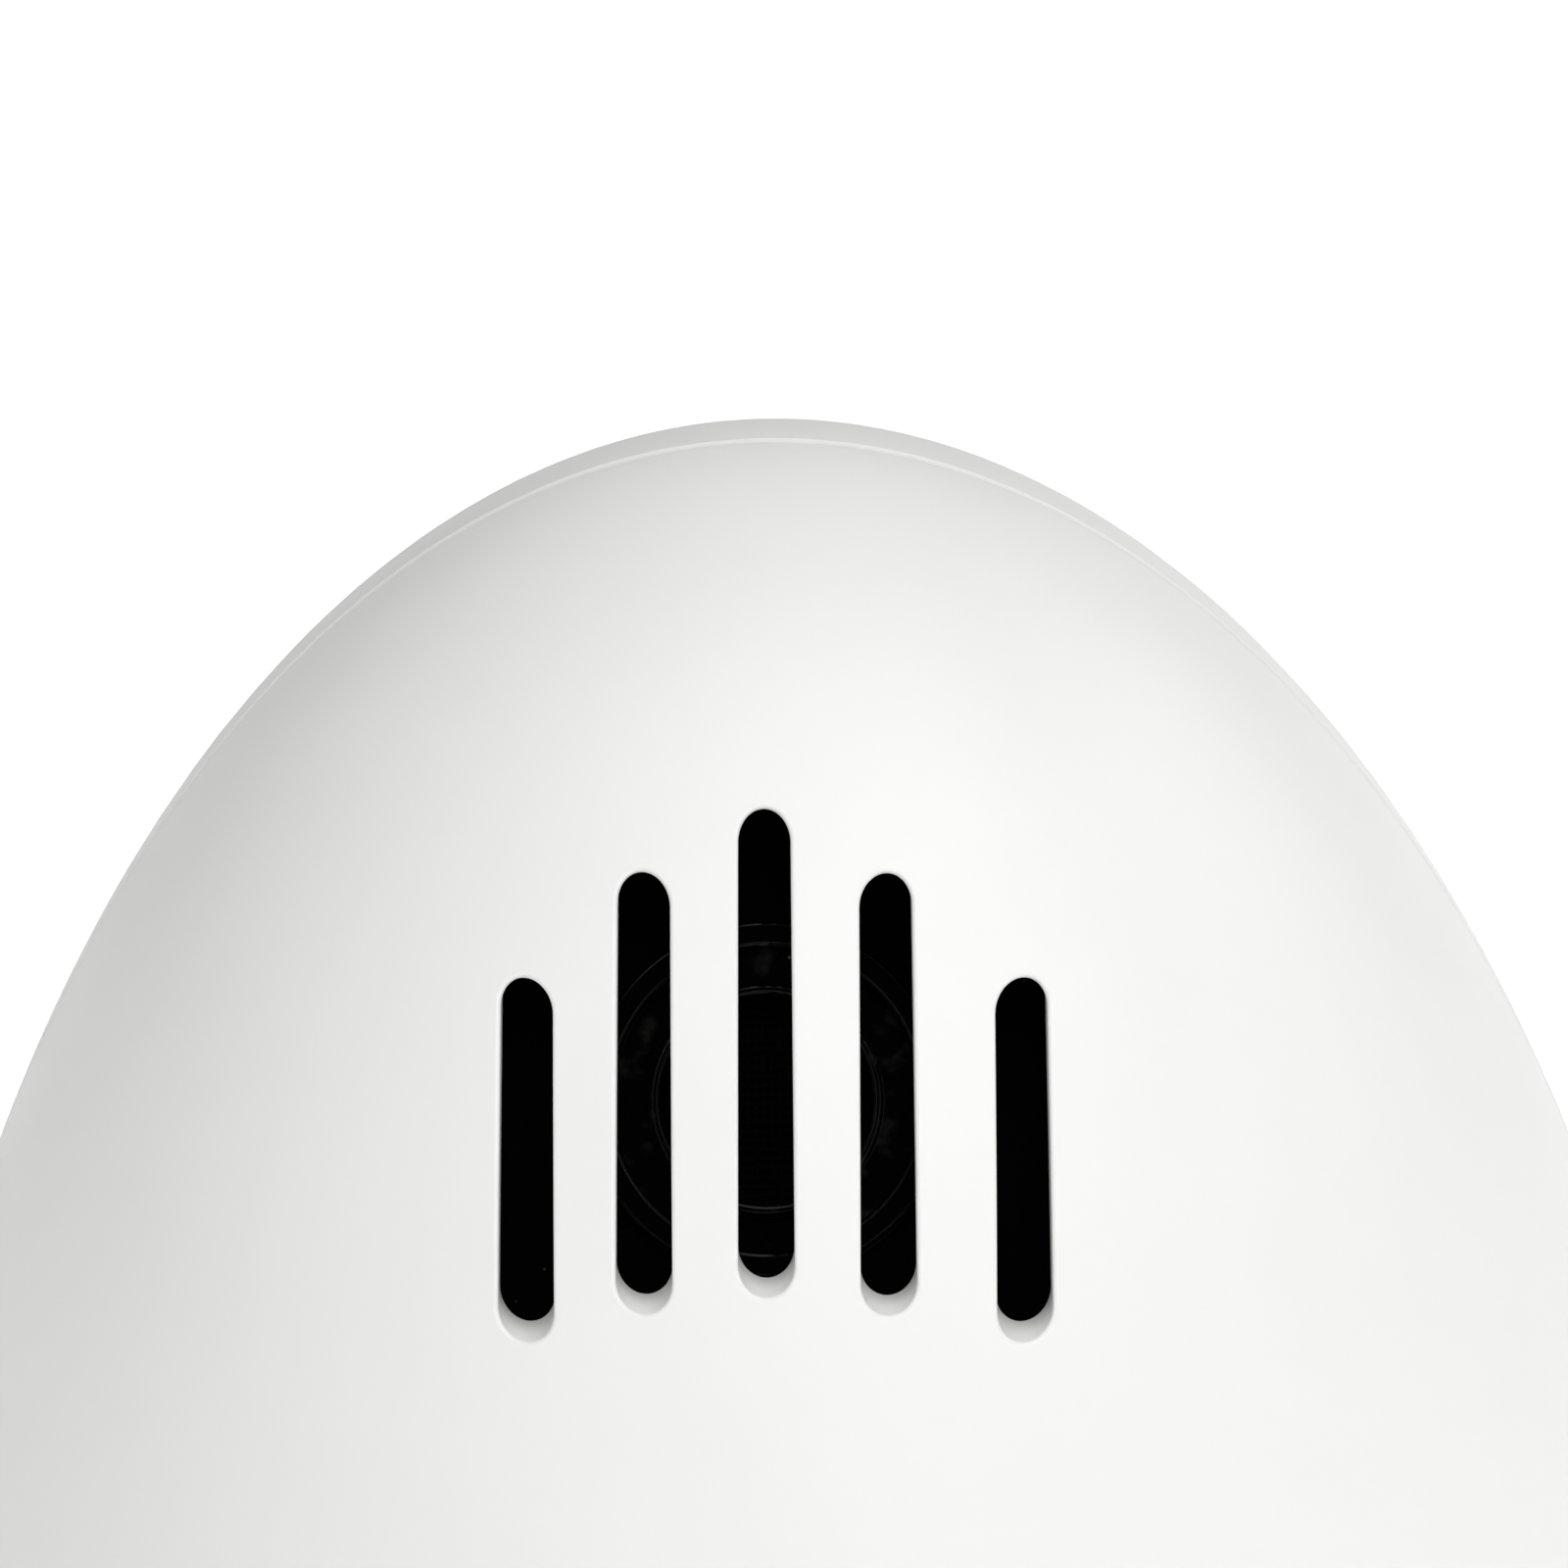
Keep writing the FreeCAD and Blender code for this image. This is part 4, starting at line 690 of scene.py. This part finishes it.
class TIMER_OT_buttons(bpy.types.Operator):
    """Dress the buttons and switches and print the words above the buttons"""
    bl_idname = "timer.buttons"
    bl_label = "Buttons"

    def execute(self, context):
        body = context.scene.timer_body
        ink = silk_screen_ink("word_ink", body.ink_colour)
        # Dyed ABS from a fine-textured mould: an even satin grey with no hard glint.
        pale_grey = moulded("textured_grey_abs", darker(body.button_colour, 0.97), body.button_colour,
                            0.5, 0.12 * MM, 0.002 * MM, IOR=1.5)
        dark_grey = moulded("textured_dark_grey_abs", darker(body.start_colour, 0.95), body.start_colour,
                            0.5, 0.12 * MM, 0.002 * MM, IOR=1.5)
        dress(pale_grey, "minute_button", "second_button")
        dress(dark_grey, "start_stop_button")
        for name, words in (("minute", "MIN"), ("start_stop", "START/STOP"), ("second", "SEC")):
            low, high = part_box(f"{name}_button")
            mesh = printed_words(f"{name}_word", words, (low.x + high.x) / 2, high.z + body.word_rise)
            add_piece(f"{name}_word", mesh, ink, "case")
        # Glass-filled nylon: near black, with a half gloss.
        black = moulded("glass_filled_nylon", "#0A0A0A", "#141414", 0.45, 0.1 * MM, 0.002 * MM)
        # Phenolic stem: the dull brown of thermoset resin.
        stem = moulded("phenolic_resin", "#2A1A12", "#3A261A", 0.5, 0.1 * MM, 0.002 * MM)
        for name in ("minute", "start_stop", "second"):
            dress(black, f"{name}_switch_case")
            dress(stem, f"{name}_switch_plunger")
        return {"FINISHED"}


class TIMER_OT_sounder(bpy.types.Operator):
    """Dress the sounder and its black mount behind the slots"""
    bl_idname = "timer.sounder"
    bl_label = "Sounder"

    def execute(self, context):
        low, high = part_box("sounder_screen")
        tilt = context.scene.timer_body.sounder_tilt
        dress(dusty_black_abs("dusty_black_abs", (low + high) / 2, tilt), "sounder_mount")
        # Black PBT can: smoother than the mount round it.
        dress(moulded("black_pbt", "#060606", "#0D0D0D", 0.4, 0.1 * MM, 0.002 * MM), "sounder_case")
        dress(black_polyester_mesh("black_polyester_mesh"), "sounder_screen")
        dress(drawn_metal("rolled_steel", "#B9B7B0", 0.3), "sounder_diaphragm", "sounder_core")
        dress(wound_copper("wound_copper"), "sounder_coil")
        # Sintered ferrite: charcoal, matt and faintly gritty.
        dress(moulded("sintered_ferrite", "#2A2A2B", "#3A3A3A", 0.6, 0.08 * MM, 0.004 * MM), "sounder_magnet")
        return {"FINISHED"}


class TIMER_OT_battery(bpy.types.Operator):
    """Dress the cell, contacts and seal, and print the marks round the battery cap"""
    bl_idname = "timer.battery"
    bl_label = "Battery"

    def execute(self, context):
        steel = drawn_metal("nickel_plated_steel", "#C9C7C0", 0.28)
        dress(steel, "coin_cell", "negative_contact", "positive_contact")
        dress(rubber("seal_rubber", "#26262A"), "cap_seal")
        body = context.scene.timer_body
        ink = silk_screen_ink("mark_ink", body.ink_colour)
        centre = np.array(((CAP_LOW.x + CAP_HIGH.x) / 2, (CAP_LOW.z + CAP_HIGH.z) / 2))
        reach = (CAP_HIGH.z - CAP_LOW.z) / 2
        marks = reach + body.mark_gap
        locked = centre + np.array((0.0, marks))
        opened = centre + np.array((math.sin(body.cap_turn), math.cos(body.cap_turn))) * marks
        middle = circle(0.0)
        dot = film("locked_mark", circle(body.mark_radius) + locked, middle + locked, 0.0, body.ink_height, 1)
        add_piece("locked_mark", dot, ink, "case")
        ring = film("open_mark", circle(body.mark_radius) + opened, circle(body.mark_bore) + opened,
                    0.0, body.ink_height, 1)
        add_piece("open_mark", ring, ink, "case")
        pointed = centre + np.array((0.0, reach - body.pointer_gap))
        pointer = film("cap_pointer", arrow(body.pointer_size) + pointed, middle + pointed,
                       -body.cap_inset, body.ink_height - body.cap_inset, 1)
        add_piece("cap_pointer", pointer, ink, "battery_door")
        return {"FINISHED"}


class TIMER_OT_inside(bpy.types.Operator):
    """Dress the circuit board, its components, the screws, the leads and the foot"""
    bl_idname = "timer.inside"
    bl_label = "Board, screws and foot"

    def execute(self, context):
        dress(solder_resist("solder_resist"), "main_board")
        # Cast epoxy blob: black and wet-looking, with slow waves.
        dress(moulded("cast_epoxy", "#0A0A0B", "#151516", 0.25, 1.0 * MM, 0.02 * MM, IOR=1.55), "timer_chip")
        dress(drawn_metal("drawn_nickel_silver", "#C4C2BC", 0.25), "clock_crystal")
        dress(drawn_metal("drawn_aluminium", "#CDD0D3", 0.35), "capacitor")
        # Glazed ceramic chips: dark, small and slightly shiny.
        dress(moulded("glazed_ceramic", "#141416", "#1F1F22", 0.4, 0.1 * MM, 0.002 * MM), "resistors")
        dress(drawn_metal("zinc_plated_steel", "#B4B3AE", 0.32),
              "case_screws", "board_screws", "sounder_screws")
        # Extruded PVC sleeves: smooth, with a soft sheen along the wire.
        dress(moulded("black_pvc", "#0B0B0B", "#151515", 0.38, 0.3 * MM, 0.003 * MM),
              "sounder_lead_left", "battery_lead_negative")
        dress(moulded("red_pvc", "#A01414", "#B31B1B", 0.38, 0.3 * MM, 0.003 * MM),
              "sounder_lead_right", "battery_lead_positive")
        dress(rubber("foot_rubber", "#2E2E30"), "foot_ring")
        return {"FINISHED"}


# --- stage --------------------------------------------------------------------------------

LIGHTS = (
    # name, azimuth and elevation in degrees from straight ahead, size in metres, watts
    ("key", 30, 45, 0.6, 1.4),
    ("top", 0, 70, 0.6, 0.83),
    ("upper_right", 40, 70, 0.6, 0.9),
    ("upper_left", -45, 45, 0.6, 0.51),
    ("right_rim", 115, 32, 0.3, 0.37),
    ("back_right", 150, 8, 0.3, 0.09),
    ("back_top", 180, 50, 0.6, 0.2),
)
# In millimetres, as the focal length is.
SENSOR_WIDTH = 36.0
# Nearer than this, in metres, the camera sees nothing.
NEAREST = 0.01
# The horizon's light fades between these heights, as sines of the angle above the table.
HORIZON_BAND = (0.05, 0.2)


def direction(azimuth, elevation):
    """Unit vector from the timer towards a place given by its azimuth from the front and its elevation."""
    level = math.cos(elevation)
    return Vector((math.sin(azimuth) * level, -math.cos(azimuth) * level, math.sin(elevation)))


def add_camera(stage):
    """The camera, facing the look-at point and turned by the roll."""
    camera = bpy.data.objects.new("camera", bpy.data.cameras.new("camera"))
    camera.data.lens = stage.lens
    camera.data.sensor_width = SENSOR_WIDTH
    camera.data.clip_start = NEAREST
    towards = direction(stage.azimuth, stage.elevation)
    turn = towards.to_track_quat("Z", "Y").to_matrix() @ Matrix.Rotation(stage.roll, 3, "Z")
    camera.matrix_world = Matrix.Translation(Vector(stage.look_at) + towards * stage.distance) @ turn.to_4x4()
    bpy.context.scene.collection.objects.link(camera)
    bpy.context.scene.camera = camera


def add_light(name, azimuth, elevation, size, watts, centre, distance):
    """A square softbox that faces the timer."""
    light = bpy.data.lights.new(name, "AREA")
    light.size = size
    light.energy = watts
    towards = direction(math.radians(azimuth), math.radians(elevation))
    lamp = bpy.data.objects.new(name, light)
    lamp.matrix_world = (Matrix.Translation(centre + towards * distance)
                         @ towards.to_track_quat("Z", "Y").to_matrix().to_4x4())
    bpy.context.scene.collection.objects.link(lamp)


def add_world(horizon, surround):
    """A plain dim white surround with a brighter band along the horizon."""
    world = bpy.data.worlds.new("studio")
    bpy.context.scene.world = world
    world.use_nodes = True
    tree = world.node_tree
    tree.nodes.clear()
    towards = node(tree, "ShaderNodeTexCoord").outputs["Generated"]
    height = node(tree, "ShaderNodeSeparateXYZ", {"Vector": towards}).outputs["Z"]
    strength = node(tree, "ShaderNodeMapRange", {"Value": height, "From Min": HORIZON_BAND[0],
                                                 "From Max": HORIZON_BAND[1],
                                                 "To Min": horizon, "To Max": surround})
    shade = node(tree, "ShaderNodeBackground", {"Color": (1, 1, 1, 1),
                                                "Strength": strength.outputs["Result"]})
    output = node(tree, "ShaderNodeOutputWorld")
    tree.links.new(shade.outputs["Background"], output.inputs["Surface"])


class TIMER_OT_stage(bpy.types.Operator):
    """Make the camera, the white table and the soft studio light"""
    bl_idname = "timer.stage"
    bl_label = "Stage"

    def execute(self, context):
        stage = context.scene.timer_stage
        add_camera(stage)
        corners = np.array(((-1, -1, 0), (1, -1, 0), (1, 1, 0), (-1, 1, 0))) * stage.table_reach
        table = bpy.data.objects.new("table", new_mesh("table", corners, np.array(((0, 1, 2, 3),))))
        table.data.materials.append(white_table("white_table"))
        context.scene.collection.objects.link(table)
        centre = Vector((0, 0, (SHELL_LOW.z + SHELL_HIGH.z) / 2))
        for light in LIGHTS:
            add_light(*light, centre, stage.light_distance)
        add_world(stage.horizon, stage.surround)
        context.scene.view_settings.view_transform = "Standard"
        return {"FINISHED"}


# --- add-on -------------------------------------------------------------------------------

STEPS = (TIMER_OT_stage, TIMER_OT_shells, TIMER_OT_display, TIMER_OT_buttons, TIMER_OT_sounder,
         TIMER_OT_battery, TIMER_OT_inside)
GROUPS = {"timer_body": TimerBodySettings, "timer_display": TimerDisplaySettings,
          "timer_stage": TimerStageSettings}


class TIMER_PT_panel(bpy.types.Panel):
    """The timer's steps and settings in the 3D view's sidebar"""
    bl_idname = "TIMER_PT_panel"
    bl_label = "Kitchen Timer"
    bl_space_type = "VIEW_3D"
    bl_region_type = "UI"
    bl_category = "Timer"

    def draw(self, context):
        for group, settings in GROUPS.items():
            box = self.layout.box()
            for name in settings.__annotations__:
                box.prop(getattr(context.scene, group), name)
        for step in STEPS:
            self.layout.operator(step.bl_idname)


def register():
    """Register the settings, the operators and the panel."""
    for group in (*GROUPS.values(), *STEPS, TIMER_PT_panel):
        bpy.utils.register_class(group)
    for name, group in GROUPS.items():
        setattr(bpy.types.Scene, name, PointerProperty(type=group))


def unregister():
    """Take everything out again."""
    for name in GROUPS:
        delattr(bpy.types.Scene, name)
    for group in reversed((*GROUPS.values(), *STEPS, TIMER_PT_panel)):
        bpy.utils.unregister_class(group)


def main():
    """Build every step in order."""
    register()
    for step in STEPS:
        family, name = step.bl_idname.split(".")
        getattr(getattr(bpy.ops, family), name)()


if __name__ == "__main__":
    main()
